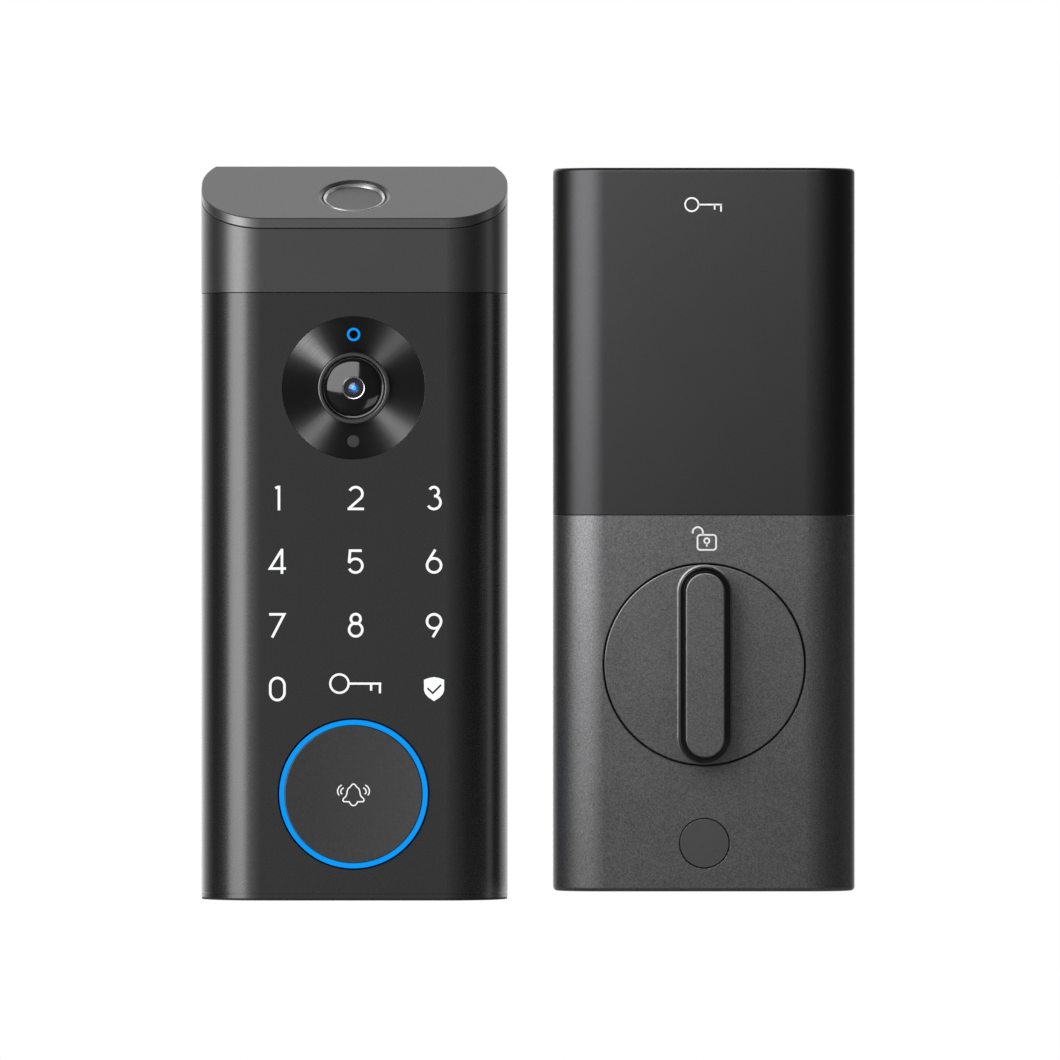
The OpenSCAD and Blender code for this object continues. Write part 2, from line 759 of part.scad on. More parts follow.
module gear_motor() color("#9fa2a6") at_indoor() {
    difference() {
        union() {
            rod(motor_r, front_plate[1], 28, motor_at.x, motor_at.y);
            for (s = [-1, 1]) translate([motor_at.x + s * 3, 0, motor_at.y])
                block(-0.3, 0.3, 28, 29.6, -1, 1);
        }
        rod(1.1, 14, 20.5, motor_at.x, motor_at.y);
    }
}

module sensor_gear() color("#e2ded2") at_indoor() translate([sensor_at.x, 0, sensor_at.y]) {
    slab(7, 9.6) gear_outline(sensor_teeth, coarse, sensor_phase);
    rod(1.5, 9.6, 18);
}

module position_sensor() color("#2f5fa8") at_indoor() translate([sensor_at.x, 0, sensor_at.y]) {
    difference() {
        block(-6.5, 6.5, front_plate[1], 19.6, -6.5, 6.5);
        rod(1.6, 14, 18.4);
    }
}

gear_posts = [for (x = [-19.5, 19.5], z = [13, -39]) [x, z]];
gear_screws = [for (x = [-26, 26], z = [13.5, -42]) [x, z]];

module gear_plate_rear() color("#8f9296") at_indoor() {
    slab(rear_plate[0], rear_plate[1]) difference() {
        round_rect(48, -42, 16.5, 3);
        circle(9);
        translate(idler_at) circle(idler_pin_r);
        // room for the heads of the through bolts
        for (s = [-1, 1]) translate([s * bolt_x, 0]) circle(5.2);
    }
}

module gear_plate_front() color("#8f9296") at_indoor() {
    difference() {
        union() {
            slab(front_plate[0], front_plate[1]) round_rect(60, -45.5, 16.5, 3);
            for (p = gear_posts) rod(2, rear_plate[1], front_plate[0], p.x, p.y);
        }
        rod(spindle_r + 0.4, 10, 20);
        rod(idler_pin_r, 10, 20, idler_at.x, idler_at.y);
        rod(1.8, 10, 20, motor_at.x, motor_at.y);
        rod(1.8, 10, 20, sensor_at.x, sensor_at.y);
        for (p = gear_screws) rod(1.1, 10, 20, p.x, p.y);
    }
}

module lock_button() color("#3b3c3e") at_indoor() {
    back = pocket + 0.4;
    turned([[0, back], [button_r + 1, back], [button_r + 1, back + flange_t],
        [button_r, back + flange_t], [button_r, in_d - 0.3], [button_r - 0.15, in_d - 0.15],
        [0, in_d - 0.15]], 0, button_z);
    rod(1.5, inner_front + switch_h + button_travel + stem_gap, back, 0, button_z);
}

module lock_button_pad() color("#d9d4c4") at_indoor() {
    top = pocket + 0.4;
    turned([[5.6, inner_front], [6.8, inner_front], [6.8, inner_front + 1.6], [6.2, top],
        [5.2, top], [5.6, inner_front + 1.6]], 0, button_z);
}

module lock_button_switch() color("#777a7d") at_indoor() {
    push_switch(0, button_z, inner_front);
}

module indoor_board() color("#1d5b3d") at_indoor() {
    difference() {
        union() {
            slab(inner_board, inner_front) round_rect(59, -48, 29, 1.5);
            block(-7, 7, inner_front, inner_front + 2.2, 12, 26);
        }
        rod(9, 10, 30);
        rod(motor_r + 0.5, 10, 30, motor_at.x, motor_at.y);
        for (p = gear_screws) rod(2.5, 10, 30, p.x, p.y);
    }
}

module indoor_harness_socket() color("#e9e6da") at_indoor() {
    difference() {
        block(-8, 8, 13.5, inner_board, harness_z - 3.9, harness_z + 3.9);
        block(-6.8, 6.8, 13.5 - bore, inner_board - 1.2, harness_z - 2.7, harness_z + 2.7);
    }
}

module indoor_screws() color("#8d9093") at_indoor() {
    for (p = bay_screws) {
        rod(2.2, 3.2, 4.4, p.x, p.y);
        rod(1.1, 0, 3.2, p.x, p.y);
    }
    for (p = gear_screws) screw(p.x, p.y, 12, 2, 1.2, 0.9, 9);
}

module buzzer() color("#1a1a1b") at_indoor() {
    at = [17, -14];
    tube(6, 1, inner_front + 1, 26, at.x, at.y);
    rod(6, inner_front, inner_front + 1, at.x, at.y);
}

// ---------------------------------------------------------------- nodes

outdoor_shell();
head_cover();
top_cap();
base_cap();
outdoor_chassis();
door_gasket();
threaded_posts();
camera_bezel();
camera_ring();
camera_glass();
camera_baffle();
camera_lens();
camera_module();
status_light_ring();
light_sensor_window();
microphone();
fingerprint_ring();
fingerprint_sensor();
keypad_light_guide();
touch_board();
bell_cap();
bell_light_ring();
bell_plunger();
bell_housing();
bell_return_pad();
bell_switch();
outdoor_board();
outdoor_harness_socket();
speaker();
usb_port();
usb_plug();
outdoor_screws();
indoor_shell();
battery_cover();
battery_case();
battery_lid();
battery_cells();
battery_pull_tab();
battery_contacts();
mounting_plate();
thumbturn_disc();
thumbturn_grip();
thumbturn_spindle();
spindle_bush();
drive_gear();
idler_gear();
idler_pin();
motor_pinion();
gear_motor();
sensor_gear();
position_sensor();
gear_plate_rear();
gear_plate_front();
lock_button();
lock_button_pad();
lock_button_switch();
indoor_board();
indoor_harness_socket();
indoor_screws();
buzzer();
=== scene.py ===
"""The keypad smart lock's finished look: both units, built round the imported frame.

Meshes are shaped in millimetres and turned into metres when they become pieces. X is to the right,
Y points into the door and Z is up. "Depth" is the distance in front of the door's face, so a depth
of 26 is at y = -26. Positions come from the frame's own boxes.
"""
import json
import math

import bmesh
import bpy
from mathutils import Euler, Matrix, Vector

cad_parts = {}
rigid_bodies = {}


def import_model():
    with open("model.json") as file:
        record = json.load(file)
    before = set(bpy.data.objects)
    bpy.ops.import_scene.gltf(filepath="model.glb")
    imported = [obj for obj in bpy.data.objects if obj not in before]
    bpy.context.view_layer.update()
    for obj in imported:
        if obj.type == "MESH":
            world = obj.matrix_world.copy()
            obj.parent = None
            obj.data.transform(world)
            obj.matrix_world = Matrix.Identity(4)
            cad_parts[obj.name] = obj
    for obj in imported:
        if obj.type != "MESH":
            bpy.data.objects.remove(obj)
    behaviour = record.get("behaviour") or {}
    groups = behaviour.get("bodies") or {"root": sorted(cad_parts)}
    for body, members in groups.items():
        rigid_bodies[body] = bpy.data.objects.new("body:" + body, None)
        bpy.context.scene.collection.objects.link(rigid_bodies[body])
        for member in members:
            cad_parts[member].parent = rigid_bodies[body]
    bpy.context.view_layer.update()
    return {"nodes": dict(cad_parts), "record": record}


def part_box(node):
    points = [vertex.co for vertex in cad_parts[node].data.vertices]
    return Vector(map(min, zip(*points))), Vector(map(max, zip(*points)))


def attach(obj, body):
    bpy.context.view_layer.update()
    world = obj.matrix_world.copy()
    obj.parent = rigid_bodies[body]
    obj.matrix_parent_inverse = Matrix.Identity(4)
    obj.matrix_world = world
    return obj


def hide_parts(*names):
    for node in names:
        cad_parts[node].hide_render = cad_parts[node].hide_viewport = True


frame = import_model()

MM = 0.001


def box(node):
    """A CAD node's lowest and highest corner, in millimetres."""
    low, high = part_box(node)
    return low / MM, high / MM


def middle(node):
    """The (x, z) centre of a CAD node, in millimetres."""
    low, high = box(node)
    return (low.x + high.x) / 2, (low.z + high.z) / 2


# ------------------------------------------------------------------ sizes, in millimetres

shell_low, shell_high = box("outdoor_shell")
head_low = box("head_cover")[0]
cap_high = box("top_cap")[1]
base_low = box("base_cap")[0]
front = -shell_low.y                    # depth of the outdoor unit's flat front
half_w = shell_high.x
seal = 1.5                              # depth of the shells' back edge, over the door gasket
wall = 2.0
front_r, back_r = 14.0, 12.7            # radii of the outdoor unit's front and back corners
back_centre = 9.7                       # depth of the back corners' centres
slope = math.radians(27.4)              # fall of the slanted top, towards the front
cap_t = 2.3 * math.cos(slope)           # the top cap's thickness, square to its face
seam = 0.15                             # gap between two shells
reader_y = 13.8                         # the fingerprint reader's centre, in front of the back edge
reader_r = 7.2
port_y = -13                            # the power port and the base screws lie on this line

in_low, in_high = box("indoor_shell")
cover_low, cover_high = box("battery_cover")
in_x = (cover_low.x + cover_high.x) / 2
in_half = (cover_high.x - cover_low.x) / 2
in_front = -cover_low.y                 # depth of the indoor unit's flat front
in_r = 8.0                              # depth of its eased front corners
ease = 1.45                             # how many times wider than deep those corners are

camera_at = middle("camera_ring")
bell_at = middle("bell_cap")
turn_at = middle("thumbturn_disc")
button_at = middle("lock_button")
bezel_r, ring_r = 16.2, 8.2             # outer radii of the camera's bezel and lens ring
sensor_arm = 12.15                      # from the lens to the light, the sensor and the microphone
bell_r = 16.85                          # outer radius of the doorbell's light
turn_r = 22.7                           # radius of the thumbturn's disc
button_r = 5.55

# Screws, as (x, z), or as x along the base.
chassis_screws = [(x, z) for x in (-26, 26) for z in (-46, 40, 78, 95)]
base_screws = (-22, 22)
gear_screws = [(x, z) for x in (-26, 26) for z in (13.5, -42)]
bay_screws = [(x, z) for x in (-24, 24) for z in (45, 100)]


# ------------------------------------------------------------------ shaping

def rounded_face(x0, x1, y0, y1, corners, back=None, steps=20):
    """A flat face in X and Y; corners gives each corner's radius as (front, back)."""
    bm = bmesh.new()
    verts = bmesh.ops.create_grid(bm, x_segments=1, y_segments=1, size=0.5)["verts"]
    bmesh.ops.scale(bm, vec=(x1 - x0, y1 - y0, 1), verts=verts)
    bmesh.ops.translate(bm, vec=((x0 + x1) / 2, (y0 + y1) / 2, 0), verts=verts)
    ends = [[v for v in bm.verts if (v.co.y > (y0 + y1) / 2) == end] for end in (False, True)]
    for radius, end in zip(corners, ends):
        if radius > 0:
            bmesh.ops.bevel(bm, geom=end, offset=radius, segments=steps, profile=0.5,
                            affect="VERTICES", material=-1)
    if back is not None:
        trim(bm, (0, back, 0), (0, 1, 0), fill=False)
    return bm


def outdoor_face(inset=0.0, back=-seal):
    """The outdoor unit seen from above, a distance inside its skin and cut off at its back."""
    return rounded_face(inset - half_w, half_w - inset, inset - front, back_r - back_centre - inset,
                        (front_r - inset, back_r - inset), back)


def indoor_face(inset=0.0, back=0.0):
    """The indoor unit seen from above, a distance inside its skin. Its corners ease into its
    front, as a quarter ellipse does."""
    side = in_half - inset
    bm = rounded_face(-side, side, inset - in_front, back, (in_r - inset, 0), steps=28)
    for vert in bm.verts:
        vert.co.x = math.copysign(side - ease * (side - abs(vert.co.x)), vert.co.x)
    bmesh.ops.translate(bm, vec=(in_x, 0, 0), verts=bm.verts)
    return bm


def raised(bm, z0, z1):
    """Extrudes a flat face into an upright prism from z0 to z1."""
    bmesh.ops.translate(bm, vec=(0, 0, z0), verts=bm.verts)
    return extruded(bm, (0, 0, z1 - z0))


def extruded(bm, way):
    """Extrudes everything in a flat mesh along a vector, into closed solids."""
    grown = bmesh.ops.extrude_face_region(bm, geom=bm.faces[:])["geom"]
    moved = [part for part in grown if isinstance(part, bmesh.types.BMVert)]
    bmesh.ops.translate(bm, vec=way, verts=moved)
    bmesh.ops.recalc_face_normals(bm, faces=bm.faces)
    return bm


def trim(bm, point, normal, fill=True):
    """Cuts off what lies past a plane, on the side that its normal points to."""
    cut = bmesh.ops.bisect_plane(bm, geom=bm.verts[:] + bm.edges[:] + bm.faces[:], dist=1e-5,
                                 plane_co=point, plane_no=normal, clear_outer=True)["geom_cut"]
    if fill:
        bmesh.ops.edgeloop_fill(bm, edges=[e for e in cut if isinstance(e, bmesh.types.BMEdge)])
        bmesh.ops.recalc_face_normals(bm, faces=bm.faces)
    return bm


def stadium(width, height, steps=16):
    """A flat slot with round ends, lying along X and centred on the origin, in X and Y."""
    bm = bmesh.new()
    verts = bmesh.ops.create_grid(bm, x_segments=1, y_segments=1, size=0.5)["verts"]
    bmesh.ops.scale(bm, vec=(width, height, 1), verts=verts)
    bmesh.ops.bevel(bm, geom=bm.verts[:], offset=height / 2 - 0.001, segments=steps, profile=0.5,
                    affect="VERTICES", material=-1)
    return bm


def rod(bm, radius, near, far, at=(0, 0), steps=64, far_radius=None):
    """Adds a round rod along Y at (x, z), between two depths."""
    turn = Matrix.Translation((at[0], -(near + far) / 2, at[1])) @ Matrix.Rotation(math.pi / 2, 4, "X")
    bmesh.ops.create_cone(bm, cap_ends=True, segments=steps, radius1=radius,
                          radius2=radius if far_radius is None else far_radius,
                          depth=far - near, matrix=turn)


def upright(bm, radius, z0, z1, at, steps=32):
    """Adds a round rod along Z at (x, y)."""
    bmesh.ops.create_cone(bm, cap_ends=True, segments=steps, radius1=radius, radius2=radius,
                          depth=z1 - z0, matrix=Matrix.Translation((at[0], at[1], (z0 + z1) / 2)))


def block(bm, low, high):
    """Adds a box between two corners."""
    low, high = Vector(low), Vector(high)
    bmesh.ops.create_cube(bm, size=1, matrix=Matrix.LocRotScale((low + high) / 2, None, high - low))


def turned(profile, centre=(0, 0), steps=128):
    """Spins an outline of (radius, depth) points about the Y axis through (x, z)."""
    bm = bmesh.new()
    ring = [bm.verts.new((radius, -depth, 0)) for radius, depth in profile]
    pairs = [pair for pair in zip(ring, ring[1:] + ring[:1]) if pair[0].co.x + pair[1].co.x > 0]
    edges = [bm.edges.new(pair) for pair in pairs]
    bmesh.ops.spin(bm, geom=ring + edges, cent=(0, 0, 0), axis=(0, 1, 0), angle=math.tau,
                   steps=steps, use_merge=True)
    bmesh.ops.remove_doubles(bm, verts=bm.verts, dist=1e-4)
    bmesh.ops.recalc_face_normals(bm, faces=bm.faces)
    bmesh.ops.translate(bm, vec=(centre[0], 0, centre[1]), verts=bm.verts)
    return bm


def scratch_object(bm):
    """A short-lived object for a modifier to work on."""
    mesh = bpy.data.meshes.new("scratch")
    bm.to_mesh(mesh)
    thing = bpy.data.objects.new("scratch", mesh)
    bpy.context.collection.objects.link(thing)
    return thing


def combine(bm, tool, how="DIFFERENCE"):
    """Cuts a tool's shape out of a mesh, or joins it on with how="UNION"."""
    body, cutter = scratch_object(bm), scratch_object(tool)
    work = body.modifiers.new("combine", "BOOLEAN")
    work.operation, work.object, work.solver, work.use_self = how, cutter, "EXACT", True
    result = body.evaluated_get(bpy.context.evaluated_depsgraph_get()).to_mesh()
    bm.clear()
    bm.from_mesh(result)
    for thing in (body, cutter):
        bpy.data.meshes.remove(thing.data)
    tool.free()
    bmesh.ops.remove_doubles(bm, verts=bm.verts, dist=1e-3)
    bmesh.ops.dissolve_limit(bm, angle_limit=math.radians(0.5), use_dissolve_boundaries=False,
                             verts=bm.verts, edges=bm.edges, delimit={"NORMAL"})
    return bm


def on_slope(bm):
    """Moves a mesh modelled round the Z axis to the fingerprint reader's place on the slanted top."""
    place = Matrix.Translation((0, -seal, cap_high.z)) @ Matrix.Rotation(slope, 4, "X")
    place @= Matrix.Translation((0, -reader_y / math.cos(slope), 0))
    bmesh.ops.transform(bm, matrix=place, verts=bm.verts)
    return bm


def round_edges(bm, chosen, radius, steps=4):
    """Rounds the chosen edges of a mesh."""
    bmesh.ops.bevel(bm, geom=chosen, offset=radius, segments=steps, profile=0.5, affect="EDGES",
                    material=-1)


def ribbon(bm, path, width, depth, closed=False):
    """Lays a flat stroke of one width along (x, z) points, with mitred corners."""
    points = [Vector((x, -depth, z)) for x, z in path]
    last = len(points) - 1
    sections = []
    for i, point in enumerate(points):
        ways = []
        if i > 0 or closed:
            ways.append((point - points[i - 1]).normalized())
        if i < last or closed:
            ways.append((points[(i + 1) % len(points)] - point).normalized())
        along = sum(ways, Vector()).normalized()
        across = Vector((-along.z, 0, along.x)) * (width / 2 / max(0.4, along.dot(ways[0])))
        sections.append((point - across, point + across))
    pair = [bm.verts.new(end) for end in sections[0]]
    bm.edges.new(pair)
    for section in sections[1:] + sections[:1] * closed:
        old = [vert.co.copy() for vert in pair]
        grown = bmesh.ops.extrude_edge_only(bm, edges=[bm.edges.get(pair)])["geom"]
        new = [part for part in grown if isinstance(part, bmesh.types.BMVert)]
        pair = sorted(new, key=lambda vert: (vert.co - old[0]).length)
        for vert, end in zip(pair, section):
            vert.co = end


def arc(x, z, radius, start, end, steps=24, tall=1.0):
    """Points on an arc about (x, z), between two angles in degrees."""
    angles = [math.radians(start + (end - start) * i / steps) for i in range(steps + 1)]
    return [(x + radius * math.cos(a), z + radius * tall * math.sin(a)) for a in angles]


def raised_marks(strokes, width, depth, thickness, at=(0, 0), size=1.0):
    """A set of strokes, each (points, closed), as thin plates that stand from a depth."""
    bm = bmesh.new()
    for path, closed in strokes:
        ribbon(bm, [(at[0] + x * size, at[1] + z * size) for x, z in path], width, depth, closed)
    bmesh.ops.remove_doubles(bm, verts=bm.verts, dist=1e-4)
    return extruded(bm, (0, -thickness, 0))


body_of = {node: body for body, nodes in frame["record"]["behaviour"]["bodies"].items()
           for node in nodes}


def piece(name, bm, material, node, edge=0.2, steps=3, stands=True):
    """Makes a mesh a finished piece: in metres, edges rounded, with its finish. It rides on the
    body of a CAD node, and stands for that node unless it is only a mark on it."""
    bmesh.ops.scale(bm, vec=(MM, MM, MM), verts=bm.verts)
    mesh = bpy.data.meshes.new(name)
    bm.to_mesh(mesh)
    bm.free()
    mesh.shade_smooth()
    mesh.set_sharp_from_angle(angle=math.radians(40))
    mesh.materials.append(material)
    thing = bpy.data.objects.new(name, mesh)
    bpy.context.collection.objects.link(thing)
    if edge:
        rounding = thing.modifiers.new("rounded_edges", "BEVEL")
        rounding.width, rounding.segments = edge * MM, steps
        rounding.limit_method, rounding.angle_limit = "ANGLE", math.radians(35)
        rounding.miter_outer = "MITER_ARC"
    weighting = thing.modifiers.new("weighted_normals", "WEIGHTED_NORMAL")
    weighting.keep_sharp = True
    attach(thing, body_of[node])
    if stands:
        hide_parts(node)
    return thing


# ------------------------------------------------------------------ finishes

def linear(hex_colour):
    """An sRGB hex colour as linear RGBA."""
    parts = [int(hex_colour[i:i + 2], 16) / 255 for i in (1, 3, 5)]
    return [c / 12.92 if c <= 0.04045 else ((c + 0.055) / 1.055) ** 2.4 for c in parts] + [1.0]


def add(tree, kind, inputs=None, **settings):
    """Adds a node, sets its properties, and sets or links its inputs."""
    node = tree.nodes.new(kind)
    for key, value in settings.items():
        setattr(node, key, value)
    for key, value in (inputs or {}).items():
        if isinstance(value, bpy.types.NodeSocket):
            tree.links.new(value, node.inputs[key])
        else:
            node.inputs[key].default_value = value
    return node


def finish(name, colour, roughness, metallic=0.0, **sockets):
    """A surface with its constants on its shader's own sockets; returns it, its tree, its shader
    and its object coordinates in millimetres."""
    material = bpy.data.materials.new(name)
    material.use_nodes = True
    tree = material.node_tree
    shader = tree.nodes["Principled BSDF"]
    shader.inputs["Base Color"].default_value = linear(colour)
    shader.inputs["Roughness"].default_value = roughness
    shader.inputs["Metallic"].default_value = metallic
    for key, value in sockets.items():
        shader.inputs[key.replace("_", " ")].default_value = value
    material.diffuse_color = linear(colour)
    place = add(tree, "ShaderNodeTexCoord").outputs["Object"]
    scaled = add(tree, "ShaderNodeVectorMath", {0: place, "Scale": 1 / MM}, operation="SCALE")
    return material, tree, shader, scaled.outputs[0]


def grained(name, colour, light, roughness, grain, height, metallic=0.0, cloud=14.0, drift=0.12,
            **sockets):
    """A surface with an even grain in its relief and tone, roughness that follows the grain, and
    a share of slow drift. Grain, height and cloud are in millimetres."""
    material, tree, shader, place = finish(name, colour, roughness, metallic, **sockets)
    fine = add(tree, "ShaderNodeTexNoise", {"Vector": place, "Scale": 1 / grain, "Detail": 2.0})
    slow = add(tree, "ShaderNodeTexNoise", {"Vector": place, "Scale": 1 / cloud, "Detail": 3.0})
    speck = add(tree, "ShaderNodeMix", {0: drift, 2: fine.outputs[0], 3: slow.outputs[0]})
    tone = add(tree, "ShaderNodeMapRange", {"Value": speck.outputs[0], "From Min": 0.3,
                                            "From Max": 0.7})
    mixed = add(tree, "ShaderNodeMix", {0: tone.outputs[0], 6: linear(colour), 7: linear(light)},
                data_type="RGBA")
    gloss = add(tree, "ShaderNodeMapRange", {"Value": speck.outputs[0], "From Min": 0.3,
                                             "From Max": 0.7, "To Min": roughness - 0.015,
                                             "To Max": roughness + 0.015})
    relief = add(tree, "ShaderNodeBump", {"Height": fine.outputs[0], "Distance": height * MM})
    tree.links.new(mixed.outputs[2], shader.inputs["Base Color"])
    tree.links.new(gloss.outputs[0], shader.inputs["Roughness"])
    tree.links.new(relief.outputs[0], shader.inputs["Normal"])
    return material


def spun(name, colour, roughness, at, pitch, height, metallic=1.0, anisotropic=0.0, **sockets):
    """Metal turned on a lathe about the Y axis through (x, z): fine rings a pitch apart, and
    highlights that fan out from the centre. Pitch and height are in millimetres."""
    material, tree, shader, place = finish(name, colour, roughness, metallic,
                                           Anisotropic=anisotropic, **sockets)
    centred = add(tree, "ShaderNodeMapping", {"Vector": place, "Location": (-at[0], 0, -at[1])})
    flat = add(tree, "ShaderNodeVectorMath", {0: centred.outputs[0], 1: (1, 0, 1)},
               operation="MULTIPLY")
    radius = add(tree, "ShaderNodeVectorMath", {0: flat.outputs[0]}, operation="LENGTH")
    outward = add(tree, "ShaderNodeVectorMath", {0: flat.outputs[0]}, operation="NORMALIZE")
    rings = add(tree, "ShaderNodeTexNoise", {"W": radius.outputs["Value"], "Scale": 1 / pitch,
                                             "Detail": 2.0}, noise_dimensions="1D")
    relief = add(tree, "ShaderNodeBump", {"Height": rings.outputs[0], "Distance": height * MM})
    gloss = add(tree, "ShaderNodeMapRange", {"Value": rings.outputs[0], "From Min": 0.3,
                                             "From Max": 0.7, "To Min": roughness - 0.04,
                                             "To Max": roughness + 0.04})
    tree.links.new(relief.outputs[0], shader.inputs["Normal"])
    tree.links.new(gloss.outputs[0], shader.inputs["Roughness"])
    if anisotropic:
        tree.links.new(outward.outputs[0], shader.inputs["Tangent"])
    return material


def lamp(name, colour, light, strength, patch):
    """A lit diffuser: an even glow that drifts a little over patches, in millimetres."""
    material, tree, shader, place = finish(name, "#040404", 0.5, Emission_Strength=strength,
                                           Specular_IOR_Level=0.1)
    cloud = add(tree, "ShaderNodeTexNoise", {"Vector": place, "Scale": 1 / patch})
    mixed = add(tree, "ShaderNodeMix", {0: cloud.outputs[0], 6: linear(colour), 7: linear(light)},
                data_type="RGBA")
    tree.links.new(mixed.outputs[2], shader.inputs["Emission Color"])
    return material


# Aluminium, finely bead blasted and anodised black: a dark satin metal with a tight, even sheen.
body_paint = grained("black_anodised_aluminium", "#535353", "#585858", 0.27, grain=0.4,
                     height=0.0003, metallic=1.0)
# The same alloy under a metallic lacquer on the head: a little lighter, with a softer sheen.
cap_paint = grained("lacquered_aluminium", "#646464", "#6c6c6c", 0.36, grain=0.4, height=0.001,
                    metallic=1.0)
# The slanted cap's coat: the head's lacquer painted a little paler, a lit copy of it for the light
# that the cap's front band catches.
cap_paint_lit_copy = grained("cap_lacquer_painted_lit", "#737373", "#7c7c7c", 0.36, grain=0.4, height=0.001,
                        metallic=1.0)
# Metallic paint over a casting: grey with bright flakes, drawn 0.3 mm wide, coarser than real
# ones, so that they show.
indoor_paint = grained("metallic_flake_paint", "#4c4c4d", "#6d6d6e", 0.38, grain=0.28,
                       height=0.002, metallic=1.0)
# Moulded ABS, sprayed with a satin paint: dark and even, with a soft metallic sheen.
cover_plastic = grained("painted_abs_cover", "#343435", "#39393a", 0.38, grain=0.4, height=0.001,
                        metallic=1.0)
# Die-cast zinc alloy, as cast and deburred: cloudy grey with a rough skin.
chassis_alloy = grained("die_cast_zinc", "#6b6e72", "#868a8e", 0.42, grain=0.8, height=0.02,
                        metallic=0.9, cloud=6.0)
# Cold-rolled steel with a passivated zinc coat: bright, with faint rolling clouds.
plate_steel = grained("zinc_plated_sheet", "#9a9ea3", "#b4b8bc", 0.32, grain=1.2, height=0.004,
                      metallic=1.0, cloud=8.0)
# Steel screws, headed and zinc plated: cleaner and glossier than the sheet.
screw_steel = grained("zinc_plated_screws", "#a8acb0", "#bcc0c4", 0.26, grain=0.5, height=0.003,
                      metallic=1.0)
# EPDM foam rubber, cut from sheet: dead matt with open pores.
gasket_rubber = grained("foam_rubber_gasket", "#141415", "#1d1d1e", 0.85, grain=0.6, height=0.06)
# Compression-moulded silicone: matt and slightly soft at its edges.
plug_rubber = grained("silicone_plug", "#1a1a1c", "#202022", 0.62, grain=0.5, height=0.01)
# Aluminium spun and dyed black: it throws fans of light from its centre.
bezel_black = spun("spun_black_aluminium", "#343434", 0.42, camera_at, pitch=0.35, height=0.002,
                   anisotropic=1.0)
# The same metal turned plain for the lens ring.
lens_ring_metal = spun("turned_lens_ring", "#6c6c6c", 0.28, camera_at, pitch=0.3, height=0.003)
# The camera's domed glass is printed black on its back, and its front has an anti-reflection
# coat, which the low IOR stands for: deep black under a faint, sharp gloss.
black_glass = grained("black_printed_glass", "#050505", "#080808", 0.07, grain=4.0, height=0.0,
                      IOR=1.3)
# A fine polished retaining ring round the clear middle of the glass.
window_metal = spun("polished_window_ring", "#8c8c8e", 0.24, camera_at, pitch=0.15, height=0.001)


def hard_coated_glass():
    """The clear middle of the camera's glass: polished, with the faint haze of wiping."""
    material, tree, shader, place = finish("hard_coated_glass", "#f4f6f8", 0.02,
                                           Transmission_Weight=1.0, IOR=1.5)
    wiped = add(tree, "ShaderNodeTexNoise", {"Vector": place, "Scale": 0.3})
    haze = add(tree, "ShaderNodeMapRange", {"Value": wiped.outputs[0], "To Min": 0.0,
                                            "To Max": 0.02})
    tree.links.new(haze.outputs[0], shader.inputs["Roughness"])
    return material


cover_glass = hard_coated_glass()
# Flocked black plastic: it swallows stray light round the lens.
baffle_black = grained("flocked_baffle", "#030303", "#060606", 0.9, grain=0.4, height=0.004,
                       Specular_IOR_Level=0.1)
# The lit ring round the doorbell and the status light: a blue diffuser over LEDs.
blue_light = lamp("blue_light_pipe", "#0096f8", "#00a2ff", 0.95, patch=6.0)
# Smoked acrylic over the light sensor: flat dark grey, satin.
sensor_window = grained("smoked_acrylic", "#3a3a3a", "#424242", 0.4, grain=0.8, height=0.002)
# Woven steel gauze, blackened, behind the microphone port: a dark dot with a fine tooth.
mic_steel = grained("steel_gauze", "#2a2b2c", "#3a3b3c", 0.4, grain=0.25, height=0.03, metallic=1.0)
# Stainless steel, turned and softly polished, round the fingerprint reader: a bright, blurred glint.
finger_ring = grained("polished_stainless", "#d4d6d8", "#e0e2e4", 0.34, grain=0.6, height=0.0002,
                      metallic=1.0)
# Sensor glass, satin etched and silvered behind: a flat grey that takes on the light above it.
finger_pad = grained("etched_sensor_glass", "#707070", "#797979", 0.4, grain=0.5, height=0.001,
                     metallic=1.0)
# Opal acrylic light guide, lit from behind: pure white where the numerals let it through.
light_guide = lamp("lit_opal_acrylic", "#ffffff", "#fbfdff", 1.0, patch=5.0)
# Screen-printed ink on the indoor unit: light grey and slightly raised.
print_ink = grained("screen_printed_ink", "#c4c4c5", "#cccccd", 0.5, grain=0.3, height=0.004)
# Epoxy board under green solder mask: glossy, mottled by the copper beneath.
circuit_board = grained("solder_mask", "#0f4a2c", "#1b6a41", 0.28, grain=1.6, height=0.02, cloud=3.0)
# Painted plastic of the doorbell's cap: a shade paler and softer than the body round it.
button_plastic = grained("painted_button", "#5a5a5a", "#616161", 0.4, grain=0.5, height=0.001,
                         metallic=1.0)
# Glass-filled nylon inside: dull black with a streaky flow.
inner_plastic = grained("glass_filled_nylon", "#1c1d1f", "#26272a", 0.55, grain=0.7, height=0.015)
# Natural acetal gears: milky white, waxy and a little translucent.
natural_plastic = grained("natural_acetal", "#d8d3c4", "#e4dfd1", 0.38, grain=0.9, height=0.004,
                          Subsurface_Weight=0.2, Subsurface_Scale=MM)
# Clear silicone return pads: milky, soft and a little translucent.
silicone = grained("milky_silicone", "#c4bfae", "#d4cfbf", 0.5, grain=0.8, height=0.01,
                   Subsurface_Weight=0.3, Subsurface_Scale=MM)
# Moulded nylon switch bodies: mid grey with a dull shine.
switch_body = grained("switch_nylon", "#5a5d60", "#6a6d70", 0.4, grain=0.5, height=0.01)
# Moulded nylon connector housings: ivory and faintly waxy.
connector_ivory = grained("connector_nylon", "#d9d4c2", "#e2ddcc", 0.42, grain=0.7, height=0.006)
# Deep-drawn steel port shell, nickel plated: bright with a warm tinge.
port_steel = grained("nickel_plated_port", "#a9abad", "#b9bbbd", 0.22, grain=0.6, height=0.003,
                     metallic=1.0)
